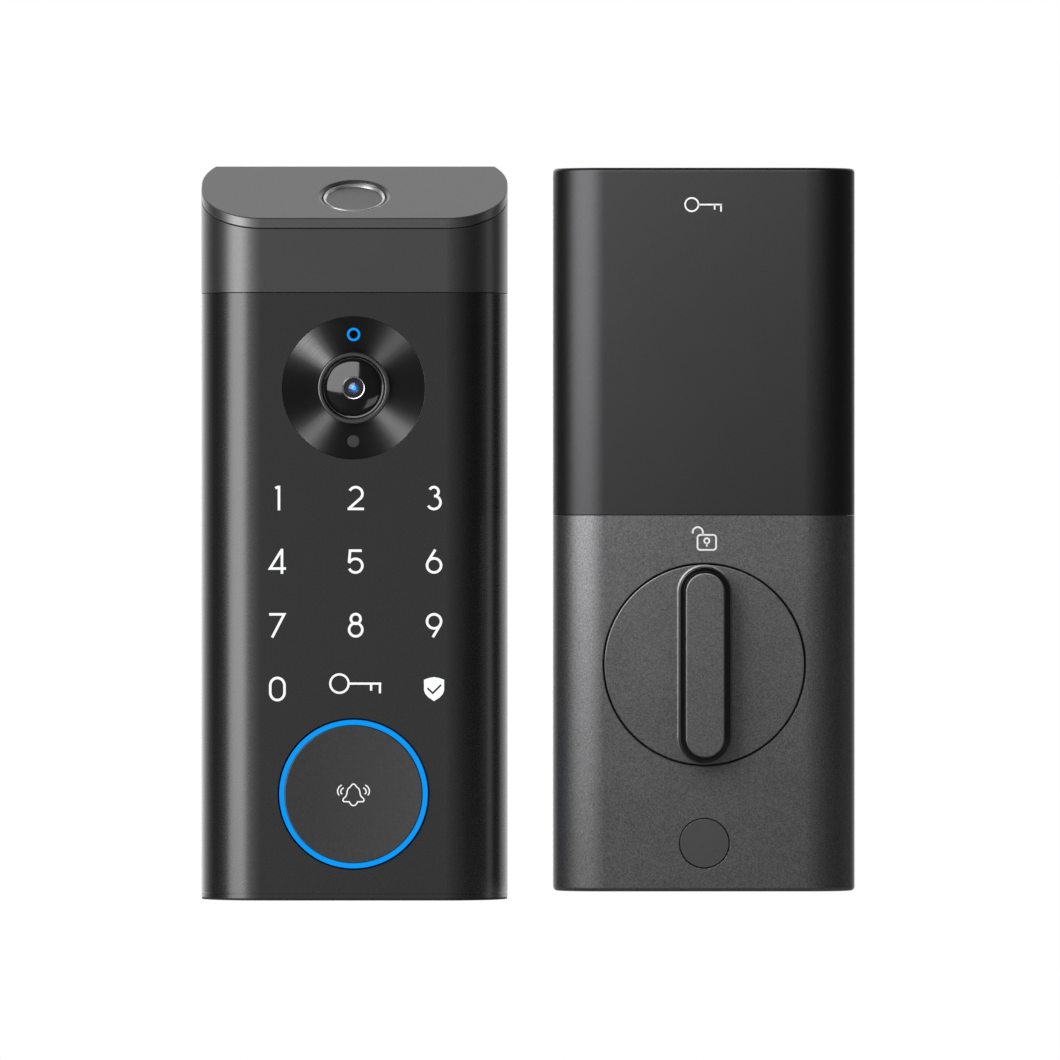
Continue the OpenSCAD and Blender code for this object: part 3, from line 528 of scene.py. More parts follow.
# Shrunk PVC sleeve round the cells: glossy, with faint wrinkles.
cell_wrap = grained("shrunk_pvc_sleeve", "#2a6ea4", "#3279b0", 0.24, grain=2.2, height=0.03)
# Moulded ABS battery case and lid: matt black.
pack_plastic = grained("battery_case_abs", "#1b1c1d", "#232425", 0.5, grain=0.5, height=0.01)
# Gold flash over nickel on the spring contacts: bright yellow, and close to the pinion's brass.
contact_gold = grained("gold_flashed_contact", "#c79a3a", "#d8ad4e", 0.2, grain=0.5, height=0.002,
                       metallic=1.0)
# The same flake paint on the thumbturn.
turn_paint = grained("flake_paint_thumbturn", "#4c4c4d", "#6d6d6e", 0.38, grain=0.28,
                     height=0.002, metallic=1.0)
# The grip's sides are lacquered black, satin and darker than its face.
grip_black = grained("black_satin_lacquer", "#2c2c2d", "#323233", 0.3, grain=0.5, height=0.002,
                     metallic=1.0)
# The outdoor unit's moulded foot, under its painted strip: matt black, a shadow line in the light.
foot_plastic = grained("matt_black_foot", "#0c0c0c", "#131313", 0.6, grain=0.5, height=0.006)
# Moulded ABS lock button: flat dark grey.
lock_button_plastic = grained("moulded_lock_button", "#2a2a2b", "#303031", 0.5, grain=0.5,
                              height=0.003)
# Sintered bronze bush, oil soaked: brown gold with a grainy, turned face.
bush_bronze = spun("sintered_bronze", "#a87b3a", 0.38, turn_at, pitch=0.5, height=0.01)
# Free-cutting steel spindle, turned: fine bright rings.
spindle_steel = spun("turned_steel_spindle", "#9b9ea1", 0.28, turn_at, pitch=0.4, height=0.006)
# Deep-drawn steel motor can, plated: a smooth, cool grey.
motor_steel = grained("drawn_motor_can", "#8b8e92", "#9ea1a5", 0.3, grain=0.9, height=0.004,
                      metallic=1.0)
# Moulded polyester housing of the position sensor: plain blue, half matt.
sensor_blue = grained("pbt_sensor_housing", "#2a549a", "#315ea8", 0.42, grain=0.6, height=0.01)


def woven(name, colour, light, thread):
    """Plain-woven nylon tape: threads of a width in millimetres cross over and under."""
    material, tree, shader, place = finish(name, colour, 0.7, Sheen_Weight=0.3)
    axes = add(tree, "ShaderNodeSeparateXYZ", {0: place})
    waves = [add(tree, "ShaderNodeMath", {0: axes.outputs[i], 1: math.pi / thread},
                 operation="MULTIPLY") for i in (0, 2)]
    sines = [add(tree, "ShaderNodeMath", {0: wave.outputs[0]}, operation="SINE") for wave in waves]
    weave = add(tree, "ShaderNodeMath", {0: sines[0].outputs[0], 1: sines[1].outputs[0]},
                operation="MULTIPLY")
    height = add(tree, "ShaderNodeMapRange", {"Value": weave.outputs[0], "From Min": -1.0})
    mixed = add(tree, "ShaderNodeMix", {0: height.outputs[0], 6: linear(colour), 7: linear(light)},
                data_type="RGBA")
    relief = add(tree, "ShaderNodeBump", {"Height": height.outputs[0], "Distance": 0.15 * MM})
    tree.links.new(mixed.outputs[2], shader.inputs["Base Color"])
    tree.links.new(relief.outputs[0], shader.inputs["Normal"])
    return material


# Nylon pull tape, with threads drawn 0.8 mm wide, coarser than real ones, so that they show.
tab_fabric = woven("woven_pull_tape", "#b03020", "#cf4632", thread=0.8)


def lens_with_painted_glow():
    """The lens: black glass with a blue coat. Its pupil is painted: a cyan ring stands for the glints
    of its coat, and it glows a little by emission, though a lens is no lamp.
    """
    material, tree, shader, place = finish("lens_with_painted_glow", "#05070c", 0.05, IOR=1.4)
    centred = add(tree, "ShaderNodeMapping", {"Vector": place,
                                              "Location": (-camera_at[0], 0, -camera_at[1])})
    flat = add(tree, "ShaderNodeVectorMath", {0: centred.outputs[0], 1: (1, 0, 1)},
               operation="MULTIPLY")
    radius = add(tree, "ShaderNodeVectorMath", {0: flat.outputs[0]}, operation="LENGTH")
    share = add(tree, "ShaderNodeMapRange", {"Value": radius.outputs["Value"], "From Max": 2.3})
    ramp = add(tree, "ShaderNodeValToRGB", {0: share.outputs[0]})
    stops = ramp.color_ramp.elements
    stops[0].color, stops[1].color = linear("#020409"), linear("#050608")
    # Painted glint: the cyan stop makes a bright ring round the pupil, for the coat's reflections.
    for at, colour in ((0.18, "#18a8e8"), (0.24, "#0a4a9c"), (0.42, "#082a5c"), (0.52, "#04060b")):
        stop = stops.new(at)
        stop.color = linear(colour)
    tree.links.new(ramp.outputs[0], shader.inputs["Base Color"])
    # Painted light: the ramp's colours also glow, so the pupil shines though the lens is no lamp.
    tree.links.new(ramp.outputs[0], shader.inputs["Emission Color"])
    shader.inputs["Emission Strength"].default_value = 0.4
    return material


lens_glass = lens_with_painted_glow()


# ------------------------------------------------------------------ outdoor unit

def screw_bosses(bm, screws):
    """Bosses behind the front wall, drilled for the chassis screws."""
    posts, drills = bmesh.new(), bmesh.new()
    for at in screws:
        rod(posts, 2.6, seal + wall, front - wall - 1, at, steps=32)
        rod(drills, 0.9, seal, 14, at, steps=24)
    combine(bm, posts, "UNION")
    combine(bm, drills)


def front_housing():
    """The main shell: an upright tube with openings for the bezel and the doorbell, bosses for
    the chassis, and ribbed posts for the base screws."""
    bm = raised(outdoor_face(), shell_low.z, shell_high.z)
    combine(bm, raised(outdoor_face(wall, 0.5), shell_low.z - 1, shell_high.z + 1))
    holes = bmesh.new()
    rod(holes, bezel_r + 0.05, front - wall - 1, front + 1, camera_at, steps=128)
    rod(holes, bell_r + 0.4, front - wall - 1, front + 1, bell_at, steps=128)
    combine(bm, holes)
    screw_bosses(bm, [at for at in chassis_screws if at[1] < shell_high.z])
    ribs, drills = bmesh.new(), bmesh.new()
    foot = base_low.z + 4
    for x in base_screws:
        upright(ribs, 2.8, foot, foot + 8, (x, port_y))
        block(ribs, (x - 0.8, 1 - front, foot), (x + 0.8, port_y, foot + 8))
        upright(drills, 1.1, foot - 1, foot + 7, (x, port_y), steps=24)
    combine(bm, ribs, "UNION")
    combine(bm, drills)
    piece("front_housing", bm, body_paint, "outdoor_shell", edge=0.18)


# The plane of the slanted top, which the head and its cap are cut to.
slope_normal = Vector((0, -math.sin(slope), math.cos(slope)))
slope_top = Vector((0, -seal, cap_high.z))


def head_housing():
    """The head's shell, cut off along the slope under the cap."""
    bm = raised(outdoor_face(), head_low.z, cap_high.z + 2)
    trim(bm, slope_top - slope_normal * (cap_t + seam / 2), slope_normal)
    combine(bm, raised(outdoor_face(wall, 0.5), head_low.z - 1, cap_high.z + 3))
    screw_bosses(bm, [at for at in chassis_screws if at[1] > shell_high.z])
    piece("head_housing", bm, cap_paint, "head_cover", edge=0.18)


def slanted_cap():
    """The plate on the slope, with a countersunk hole for the fingerprint reader."""
    bm = raised(outdoor_face(), shell_high.z, cap_high.z + 5)
    trim(bm, slope_top, slope_normal)
    trim(bm, slope_top - slope_normal * cap_t, -slope_normal)
    hole = bmesh.new()
    upright(hole, reader_r + 0.1, -5, 1, (0, 0), steps=96)
    combine(bm, on_slope(hole))
    lip = bmesh.new()
    bmesh.ops.create_cone(lip, cap_ends=True, segments=96, radius1=reader_r + 0.1, radius2=8.6,
                          depth=1.0, matrix=Matrix.Translation((0, 0, -0.1)))
    combine(bm, on_slope(lip))
    piece("slanted_cap", bm, cap_paint_lit_copy, "top_cap", edge=0.4)


def fingerprint_reader():
    """The reader's bright ring and its etched pad, sunk in the slanted top."""
    inner = reader_r - 0.9
    ring = turned([(inner, 1.7), (reader_r, 1.7), (reader_r, 0.75), (reader_r - 0.25, 0.45),
                   (reader_r - 0.45, 0.45), (inner, 0.85)])
    bmesh.ops.rotate(ring, matrix=Matrix.Rotation(math.pi / 2, 3, "X"), verts=ring.verts)
    piece("reader_ring", on_slope(ring), finger_ring, "fingerprint_ring", edge=0.08)
    pad = bmesh.new()
    upright(pad, inner, -cap_t - 0.2, -0.9, (0, 0), steps=96)
    block(pad, (-6, -6, -4.2), (6, 6, -cap_t - 0.2))
    piece("reader_pad", on_slope(pad), finger_pad, "fingerprint_sensor", edge=0.12)


def base_strip():
    """The painted strip that closes the outdoor unit's base, and the black foot under it, with
    the power port's opening, the sound slots and the screws' holes through both."""
    sole = base_low.z
    foot_top, neck = sole + 0.5, shell_low.z - 0.3
    foot = raised(outdoor_face(0.12), sole, foot_top + 0.2)
    strip = raised(outdoor_face(), foot_top, neck)
    combine(strip, raised(outdoor_face(0.3), foot_top + 0.3, shell_low.z), "UNION")
    combine(strip, raised(outdoor_face(wall + 0.15, -3.7), neck, shell_low.z + 2), "UNION")
    slots = []
    for width, height, z0, z1 in ((14, 7, sole - 1, sole + 1.2), (9.4, 3.6, sole, sole + 6)):
        slot = raised(stadium(width, height), z0, z1)
        bmesh.ops.translate(slot, vec=(0, port_y, 0), verts=slot.verts)
        slots.append(slot)
    sound_pitch, sound_y = 3.2, -7
    for i in range(-2, 3):
        slot = raised(stadium(4.0, 1.2), sole - 1, sole + 7)
        bmesh.ops.rotate(slot, matrix=Matrix.Rotation(math.pi / 2, 3, "Z"), verts=slot.verts)
        bmesh.ops.translate(slot, vec=(i * sound_pitch, sound_y, 0), verts=slot.verts)
        slots.append(slot)
    for slot in slots:
        combine(foot, slot.copy())
        combine(strip, slot)
    holes = bmesh.new()
    for x in base_screws:
        upright(holes, 2.4, sole - 1, sole + 1, (x, port_y))
    combine(foot, holes.copy())
    for x in base_screws:
        upright(holes, 1.35, sole + 0.8, sole + 7, (x, port_y))
    combine(strip, holes)
    piece("base_strip", strip, body_paint, "base_cap", edge=0.12)
    piece("base_foot", foot, foot_plastic, "base_cap", edge=0.2)


def bezel_depth(radius):
    """The bezel is a shallow cone that falls from its rim to the lens ring."""
    return front - (bezel_r - radius) / (bezel_r - ring_r)


def camera():
    """The camera: spun bezel, lens ring, glass, baffle, lens, status light and light sensor."""
    x, z = camera_at
    bezel = turned([(ring_r, front - wall), (bezel_r, front - wall), (bezel_r, front),
                    (ring_r, front - 1)], camera_at)
    holes = bmesh.new()
    for radius, at in ((1.55, (x, z + sensor_arm)), (1.4, (x, z - sensor_arm)),
                       (0.5, (x - sensor_arm, z))):
        rod(holes, radius, front - 6, front + 1, at, steps=48)
    combine(bezel, holes)
    piece("spun_bezel", bezel, bezel_black, "camera_bezel", edge=0.1)

    proud = front + 0.8
    piece("lens_ring", turned([(7, 22.5), (ring_r, 22.5), (ring_r, proud - 0.3),
                               (ring_r - 0.3, proud), (7.3, proud), (7, proud - 0.4)], camera_at),
          lens_ring_metal, "camera_ring", edge=0.12)

    glass, rim = 0.7, front - 0.4       # the dome's thickness, and the depth where it starts
    crown_r, crown = 6.4, 0.9           # the dome's radius and how far it stands out
    clear_r, hole_r = 2.3, 2.6          # the clear middle, and the hole in the black print
    top = rim + 0.82                    # the dome's depth at that hole
    skin = [(crown_r * math.cos(a), rim + crown * math.sin(a))
            for a in (math.radians(7.5 * i) for i in range(13))]
    skin = [point for point in skin if point[0] > hole_r + 0.4]
    piece("camera_dome", turned([(6.95, rim - glass), (6.95, rim - 0.1), (6.8, rim + 0.1),
                                 (6.6, rim + 0.1)] + skin + [(hole_r, top), (hole_r, top - glass)]
                                + [(r, depth - glass) for r, depth in skin[::-1]], camera_at),
          black_glass, "camera_glass", edge=0)
    piece("window_ring", turned([(clear_r, top - glass), (hole_r, top - glass),
                                 (hole_r, top + 0.02), (hole_r - 0.1, top + 0.09),
                                 (clear_r + 0.05, top + 0.06), (clear_r, top - 0.1)],
                                camera_at, steps=96),
          window_metal, "camera_glass", edge=0)
    piece("clear_window", turned([(0, top - 0.5), (clear_r, top - 0.5), (clear_r, top - 0.15),
                                  (0, top - 0.15)], camera_at, steps=96),
          cover_glass, "camera_glass", edge=0)

    # The baffle is a funnel of eight low stairs round the lens.
    steps = [(2.65 + 0.53 * i, 23.2 + 0.175 * i) for i in range(9)]
    stairs = [point for a, b in zip(steps, steps[1:]) for point in (a, (b[0], a[1]))]
    piece("baffle", turned([(2.65, 22.5)] + stairs + [(6.9, 24.6), (6.9, 22.5)], camera_at),
          baffle_black, "camera_baffle", edge=0)

    lens_r, seat = 2.25, 23.2           # the lens, and the depth that it sits at in its barrel
    barrel = turned([(0, 18), (2.6, 18), (2.6, seat + 0.15), (2.3, seat + 0.15), (lens_r, seat),
                     (0, seat)], camera_at, steps=64)
    piece("lens_barrel", barrel, lens_ring_metal, "camera_lens", edge=0.05)
    lens = [(lens_r * math.cos(a), seat + 0.8 * math.sin(a))
            for a in (math.radians(9 * i) for i in range(11))]
    piece("front_lens", turned([(0, seat - 0.01)] + lens, camera_at, steps=64), lens_glass,
          "camera_lens", edge=0)

    at, level = (x, z + sensor_arm), bezel_depth(sensor_arm)
    piece("status_light", turned([(1.0, 24), (1.5, 24), (1.5, level), (1.0, level)], at, steps=64),
          blue_light, "status_light_ring", edge=0.05)
    piece("status_core", turned([(0, 24), (0.97, 24), (0.97, level - 0.2), (0, level - 0.2)],
                                at, steps=64),
          baffle_black, "status_light_ring", edge=0)
    window = bmesh.new()
    rod(window, 1.4, front - wall, level - 0.05, (x, z - sensor_arm), steps=48)
    piece("light_sensor", window, sensor_window, "light_sensor_window", edge=0.1)


def doorbell():
    """The doorbell's dished cap and the light ring round it."""
    back, rim = 24.4, front + 0.9
    light_w = 1.1
    cap_r = bell_r - light_w - 0.02
    dish = [((cap_r - 0.2) * (1 - i / 12), rim - 0.5 * (1 - (1 - i / 12) ** 2)) for i in range(13)]
    piece("doorbell_cap", turned([(0, back), (cap_r, back), (cap_r, rim - 0.2)] + dish, bell_at),
          button_plastic, "bell_cap", edge=0.08)
    piece("doorbell_light", turned([(bell_r - light_w, back), (bell_r, back), (bell_r, rim),
                                    (bell_r - light_w, rim)], bell_at),
          blue_light, "bell_light_ring", edge=0.12)


# The numerals' strokes, each (points, closed), drawn round their own centres.
digits = {
    "0": [(arc(0, 0.75, 1.62, 0, 180, tall=1.09) + arc(0, -0.75, 1.62, 180, 360, tall=1.09), True)],
    "1": [([(-0.45, 2.2), (0.0, 2.47), (0.42, 2.47)], False), ([(0.36, 2.8), (0.36, -2.8)], False)],
    "2": [(arc(0, 0.95, 1.52, 152, -38) + [(-1.45, -2.3)], False),
          ([(-1.85, -2.47), (1.87, -2.47)], False)],
    "3": [(arc(-0.03, 1.43, 1.05, 152, -80), False), (arc(-0.03, -1.0, 1.5, 82, -150), False),
          ([(0, 0.43), (0.5, 0.43)], False)],
    "4": [([(1.04, -2.8), (1.04, 2.6), (0.95, 2.6), (-1.65, -1.6), (1.95, -1.6)], False)],
    "5": [([(1.37, 2.47), (-1.28, 2.47), (-1.5, -0.05)] + arc(-0.05, -0.94, 1.56, 148, -154), False)],
    "6": [(arc(0, -0.88, 1.6, 0, 345), True), ([(0.28, 2.72), (-1.4, -0.05)], False)],
    "7": [([(-1.87, 2.47), (1.55, 2.47), (-1.2, -2.8)], False)],
    "8": [(arc(0, 1.43, 1.1, 0, 345), True), (arc(0, -1.02, 1.5, 0, 345), True)],
    "9": [(arc(0, 0.88, 1.6, 0, 345), True), ([(-0.28, -2.72), (1.4, 0.05)], False)],
}
key_columns = (-17.3, 0.5, 18.3)
key_rows = (37.77, 23.34, 8.87, -5.63)
keys = ["123", "456", "789", "0  "]
stroke = 0.58                           # width of the numerals' lines
mark_t = 0.13                           # thickness of a mark, most of it in the wall

# A plain key, lying on its side: a ring, a shaft and two teeth.
key_sign = [(arc(-3.7, 0, 2.1, 0, 345), True), ([(-1.6, 0), (5.8, 0)], False),
            ([(5.5, 0), (5.5, -2.2)], False), ([(3.5, 0), (3.5, -1.6)], False)]
# A bell with its clapper, drawn as one line, and two sound arcs on each side.
bell_half = [(0.3, 2.2), (0.72, 1.65), (1.22, 1.22), (1.42, 0.7), (1.5, 0.05), (1.72, -0.5),
             (2.3, -1.05), (2.42, -1.4), (2.2, -1.7), (0.95, -1.74), (0.75, -2.15), (0.4, -2.5)]
bell_sign = [([(0, 2.3)] + bell_half + [(0, -2.62)] + [(-x, z) for x, z in bell_half[::-1]], True)]
for side in (-1, 1):
    bell_sign.append(([(side * x, z) for x, z in ((2.22, 1.44), (2.7, 1.1), (2.92, 0.62),
                                                  (2.85, 0.25), (2.55, 0.0))], False))
    bell_sign.append(([(side * x, z) for x, z in ((2.68, 2.08), (3.3, 1.6), (3.62, 0.9),
                                                  (3.58, 0.25), (3.26, -0.3))], False))
# An open padlock: its body, its shackle swung to the left, and a keyhole.
padlock_sign = [
    (arc(1.45, 1.05, 0.65, 90, 0, 8) + arc(1.45, -1.05, 0.65, 0, -90, 8)
     + arc(-1.45, -1.05, 0.65, 270, 180, 8) + arc(-1.45, 1.05, 0.65, 180, 90, 8), True),
    (arc(-2.05, 2.3, 1.15, 195, 0, 16) + [(-0.9, 1.7)], False),
    (arc(0, 0.35, 0.58, 0, 345, 20), True), ([(0, -0.25), (0, -0.95)], False),
]


def keypad_marks():
    """The lit numerals, shield and key sign, which the light guide shines through."""
    bm = bmesh.new()
    parts = [raised_marks(digits[key], stroke, front - 0.1, mark_t, (x, z))
             for row, z in zip(keys, key_rows) for key, x in zip(row, key_columns) if key != " "]
    parts.append(raised_marks(key_sign, 0.5, front - 0.1, mark_t, (key_columns[1], -4.4)))
    parts.append(shield((key_columns[2], key_rows[3])))
    for part in parts:
        scratch = bpy.data.meshes.new("scratch")
        part.to_mesh(scratch)
        part.free()
        bm.from_mesh(scratch)
        bpy.data.meshes.remove(scratch)
    piece("keypad_marks", bm, light_guide, "keypad_light_guide", edge=0, stands=False)


def shield(at):
    """A shield with a tick cut through it."""
    half = [(0, 2.72), (1.2, 2.5), (2.3, 2.1), (2.28, -0.3), (2.0, -1.1), (1.3, -1.9), (0, -2.75)]
    bm = bmesh.new()
    outline = half + [(-x, z) for x, z in half[-2:0:-1]]
    ring = [bm.verts.new((at[0] + x, 0.1 - front, at[1] + z)) for x, z in outline]
    edges = [bm.edges.new(pair) for pair in zip(ring, ring[1:] + ring[:1])]
    bmesh.ops.edgeloop_fill(bm, edges=edges)
    extruded(bm, (0, -mark_t, 0))
    tick = [([(-1.5, 0.2), (-0.3, -0.95), (1.6, 0.95)], False)]
    return combine(bm, raised_marks(tick, 0.42, front - 0.3, 0.6, at))


def printed_marks():
    """The bell in the doorbell's dish, and the two signs printed on the indoor unit."""
    doorbell_sign = raised_marks(bell_sign, 0.27, front + 0.3, 0.22, bell_at)
    piece("bell_mark", doorbell_sign, light_guide, "bell_cap", edge=0,
          stands=False)
    padlock = raised_marks(padlock_sign, 0.38, in_front - 0.1, mark_t, (in_x + 0.54, 27.7))
    piece("padlock_mark", padlock, print_ink, "indoor_shell", edge=0, stands=False)
    small_key = raised_marks(key_sign, 0.36, in_front - 0.1, mark_t, (in_x - 0.2, 104.2), size=0.72)
    piece("key_mark", small_key, print_ink, "battery_cover", edge=0, stands=False)


# ------------------------------------------------------------------ indoor unit

def indoor_solid(z0, z1, inset=0.0, back=0.0, rounded=None):
    """The indoor unit's upright block. A rounded end, low or high, has its rim rounded over."""
    bm = raised(indoor_face(inset, back), z0, z1)
    if rounded is not None:
        rim = [e for e in bm.edges if all(abs(v.co.z - rounded) < 1e-4 for v in e.verts)
               and not all(abs(v.co.y - back) < 1e-4 for v in e.verts)]
        round_edges(bm, rim, 0.9, steps=5)
    return bm


bay_inset, bay_wall = 2.2, 1.8          # the battery bay inside the cover, and its own wall
rail_y = (-16, -14)                     # the cover's rails, along the bay's sides


def lower_casing():
    """The casing: the painted lower half, the battery bay that the cover slides over with its
    rails, and the posts for the gear plates."""
    top = cover_low.z - seam
    bm = indoor_solid(in_low.z, top, rounded=in_low.z)
    combine(bm, indoor_solid(cover_low.z - 1, in_high.z, bay_inset), "UNION")
    combine(bm, raised(indoor_face(wall + 0.2, 1), in_low.z + wall, top - wall))
    cuts = bmesh.new()
    inner = in_half - bay_inset - bay_wall
    block(cuts, (in_x - inner, -in_front - 1, top), (in_x + inner, -3.2, in_high.z - bay_wall))
    combine(bm, cuts)
    cuts = bmesh.new()
    block(cuts, (in_x - 30.1, -1.7, 30), (in_x + 30.1, 1, 108.5))
    combine(bm, cuts)
    cuts = bmesh.new()
    rod(cuts, turn_r + 0.4, 30, in_front + 1, turn_at, steps=160)
    rod(cuts, button_r + 0.2, 30, in_front + 1, button_at, steps=96)
    for x, z in bay_screws:
        rod(cuts, 1.4, 0, 5, (in_x + x, z), steps=24)
    combine(bm, cuts)
    rails = bmesh.new()
    for side in (-1, 1):
        x = in_x + side * (in_half - bay_inset)
        block(rails, (x - 0.9, rail_y[0], cover_low.z - 1), (x + 0.9, rail_y[1], in_high.z - 6))
    combine(bm, rails, "UNION")
    posts, drills = bmesh.new(), bmesh.new()
    for x, z in gear_screws:
        rod(posts, 3.2, 21.4, in_front - wall + 0.5, (in_x + x, z), steps=32)
        rod(posts, 2.4, 14.8, 22, (in_x + x, z), steps=32)
        rod(drills, 0.9, 13.2, 22.2, (in_x + x, z), steps=24)
    combine(bm, posts, "UNION")
    combine(bm, drills)
    piece("lower_casing", bm, indoor_paint, "indoor_shell", edge=0.15)


def sliding_cover():
    """The battery cover: a cap that is open below and behind, with a groove for each rail."""
    bm = indoor_solid(cover_low.z - 0.1, cover_high.z, back=-0.4, rounded=cover_high.z)
    combine(bm, raised(indoor_face(wall, 1), cover_low.z - 1, cover_high.z - wall))
    grooves = bmesh.new()
    for side in (-1, 1):
        x = in_x + side * (in_half - bay_inset)
        block(grooves, (x - 1.1, rail_y[0] - 0.2, cover_low.z - 1),
              (x + 1.1, rail_y[1] + 0.2, in_high.z - 5.7))
    combine(bm, grooves)
    piece("sliding_cover", bm, cover_plastic, "battery_cover", edge=0.15)


grip_half = 16.4                        # half the length of the grip's straight sides


def thumbturn():
    """The thumbturn's disc, and its grip: a thin skirt, black sides and a painted face. Each
    level of the grip rises by one figure and draws in by the next."""
    disc = turned([(0, 30.1), (turn_r + 1.7, 30.1), (turn_r + 1.7, 31.5), (turn_r, 31.5),
                   (turn_r, in_front - 0.02), (0, in_front - 0.02)], turn_at, steps=160)
    piece("turn_disc", disc, turn_paint, "thumbturn_disc", edge=0.25)
    skirt = ((0.03, 0), (0.17, 0.45), (0, 1))
    sides = ((0.3, 0), (0.2, 0.12), (8.4, 0.15), (0.7, 0.65), (1.3, 0.15), (0.3, 0.2))
    face = ((0, 0), (0.88, 0.03), (0.12, 0.3))
    for name, width, depth, levels, material in (
            ("turn_grip_skirt", 12.5, in_front, skirt, turn_paint),
            ("turn_grip", 11.7, in_front, sides, grip_black),
            ("turn_grip_face", 8.7, in_front + 11, face, turn_paint)):
        bm = stadium(width + 2 * grip_half, width, steps=20)
        bmesh.ops.rotate(bm, matrix=Matrix.Rotation(math.pi / 2, 3, "Z"), verts=bm.verts)
        bmesh.ops.rotate(bm, matrix=Matrix.Rotation(math.pi / 2, 3, "X"), verts=bm.verts)
        bmesh.ops.translate(bm, vec=(turn_at[0], -depth, turn_at[1]), verts=bm.verts)
        top = bm.faces[:]
        for rise, draft in levels:
            top = step_up(bm, top, rise, draft)
        bmesh.ops.recalc_face_normals(bm, faces=bm.faces)
        piece(name, bm, material, "thumbturn_grip", edge=0)


def step_up(bm, face, rise, draft):
    """Extrudes a face towards the front and draws its rim in."""
    grown = bmesh.ops.extrude_face_region(bm, geom=face)["geom"]
    verts = [part for part in grown if isinstance(part, bmesh.types.BMVert)]
    bmesh.ops.translate(bm, vec=(0, -rise, 0), verts=verts)
    x, z = turn_at
    for vert in verts:
        centre_z = z + max(-grip_half, min(grip_half, vert.co.z - z))
        out = Vector((vert.co.x - x, 0, vert.co.z - centre_z))
        vert.co -= out.normalized() * draft
    return [part for part in grown if isinstance(part, bmesh.types.BMFace)]


def round_button():
    """The lock button, with the flange that holds it in and the stem that works its switch."""
    back, shoulder, face = 30.4, 31.5, in_front - 0.15
    bm = turned([(0, back), (button_r + 1, back), (button_r + 1, shoulder), (button_r, shoulder),
                 (button_r, face), (0, face)], button_at, steps=96)
    stem = bmesh.new()
    rod(stem, 1.5, 24.4, back + 0.2, button_at, steps=32)
    combine(bm, stem, "UNION")
    piece("round_button", bm, lock_button_plastic, "lock_button", edge=0.15)


# ------------------------------------------------------------------ pieces that keep the CAD shape

def refined(name, node, material, edge=0.12):
    """A CAD node's own shape, merged from its loose triangles, with its edges rounded."""
    bm = bmesh.new()
    bm.from_mesh(frame["nodes"][node].data)
    bmesh.ops.remove_doubles(bm, verts=bm.verts, dist=1e-6)
    bmesh.ops.scale(bm, vec=(1 / MM, 1 / MM, 1 / MM), verts=bm.verts)
    bmesh.ops.dissolve_limit(bm, angle_limit=math.radians(1), use_dissolve_boundaries=False,
                             verts=bm.verts, edges=bm.edges, delimit=set())
    piece(name, bm, material, node, edge=edge, steps=2)


# Each piece's name, the CAD node that it copies, its finish and its edge radius.
refined_pieces = (
    ("chassis_casting", "outdoor_chassis", chassis_alloy, 0.25),
    ("foam_gasket", "door_gasket", gasket_rubber, 0.2),
    ("bolt_posts", "threaded_posts", screw_steel, 0.15),
    ("camera_body", "camera_module", inner_plastic, 0.12),
    ("microphone_gauze", "microphone", mic_steel, 0.1),
    ("opal_guide", "keypad_light_guide", light_guide, 0.08),
    ("touch_panel", "touch_board", circuit_board, 0.08),
    ("doorbell_plunger", "bell_plunger", natural_plastic, 0.15),
    ("doorbell_housing", "bell_housing", inner_plastic, 0.15),
    ("doorbell_pad", "bell_return_pad", silicone, 0),
    ("doorbell_switch", "bell_switch", switch_body, 0.1),
    ("main_board", "outdoor_board", circuit_board, 0.08),
    ("outdoor_socket", "outdoor_harness_socket", connector_ivory, 0.15),
    ("speaker_body", "speaker", inner_plastic, 0.3),
    ("power_port", "usb_port", port_steel, 0.06),
    ("port_plug", "usb_plug", plug_rubber, 0.2),
    ("chassis_screws", "outdoor_screws", screw_steel, 0.12),
    ("cell_tray", "battery_case", pack_plastic, 0.2),
    ("cell_lid", "battery_lid", pack_plastic, 0.3),
    ("cells", "battery_cells", cell_wrap, 0.8),
    ("pull_tape", "battery_pull_tab", tab_fabric, 0.1),
    ("spring_contacts", "battery_contacts", contact_gold, 0.3),
    ("wall_plate", "mounting_plate", plate_steel, 0.15),
    ("spindle", "thumbturn_spindle", spindle_steel, 0.15),
    ("bush", "spindle_bush", bush_bronze, 0.12),
    ("spindle_gear", "drive_gear", natural_plastic, 0.06),
    ("reduction_gear", "idler_gear", natural_plastic, 0.05),
    ("gear_pin", "idler_pin", screw_steel, 0.15),
    ("brass_pinion", "motor_pinion", contact_gold, 0.04),
    ("motor", "gear_motor", motor_steel, 0.25),
    ("position_gear", "sensor_gear", natural_plastic, 0.05),
    ("position_encoder", "position_sensor", sensor_blue, 0.25),
    ("rear_gear_plate", "gear_plate_rear", plate_steel, 0.12),
    ("front_gear_plate", "gear_plate_front", plate_steel, 0.12),
    ("lock_button_boot", "lock_button_pad", silicone, 0),
    ("lock_button_key", "lock_button_switch", switch_body, 0.1),
    ("logic_board", "indoor_board", circuit_board, 0.08),
    ("indoor_socket", "indoor_harness_socket", connector_ivory, 0.15),
    ("casing_screws", "indoor_screws", screw_steel, 0.12),
    ("sounder", "buzzer", inner_plastic, 0.2),
)

for make in (front_housing, head_housing, slanted_cap, fingerprint_reader, base_strip, camera,
             doorbell, keypad_marks, lower_casing, sliding_cover, thumbturn, round_button,
             printed_marks):
    make()
for name, node, material, edge in refined_pieces:
    refined(name, node, material, edge)


# ------------------------------------------------------------------ floor, light and camera

scene = bpy.context.scene
scene.view_settings.view_transform = "Standard"


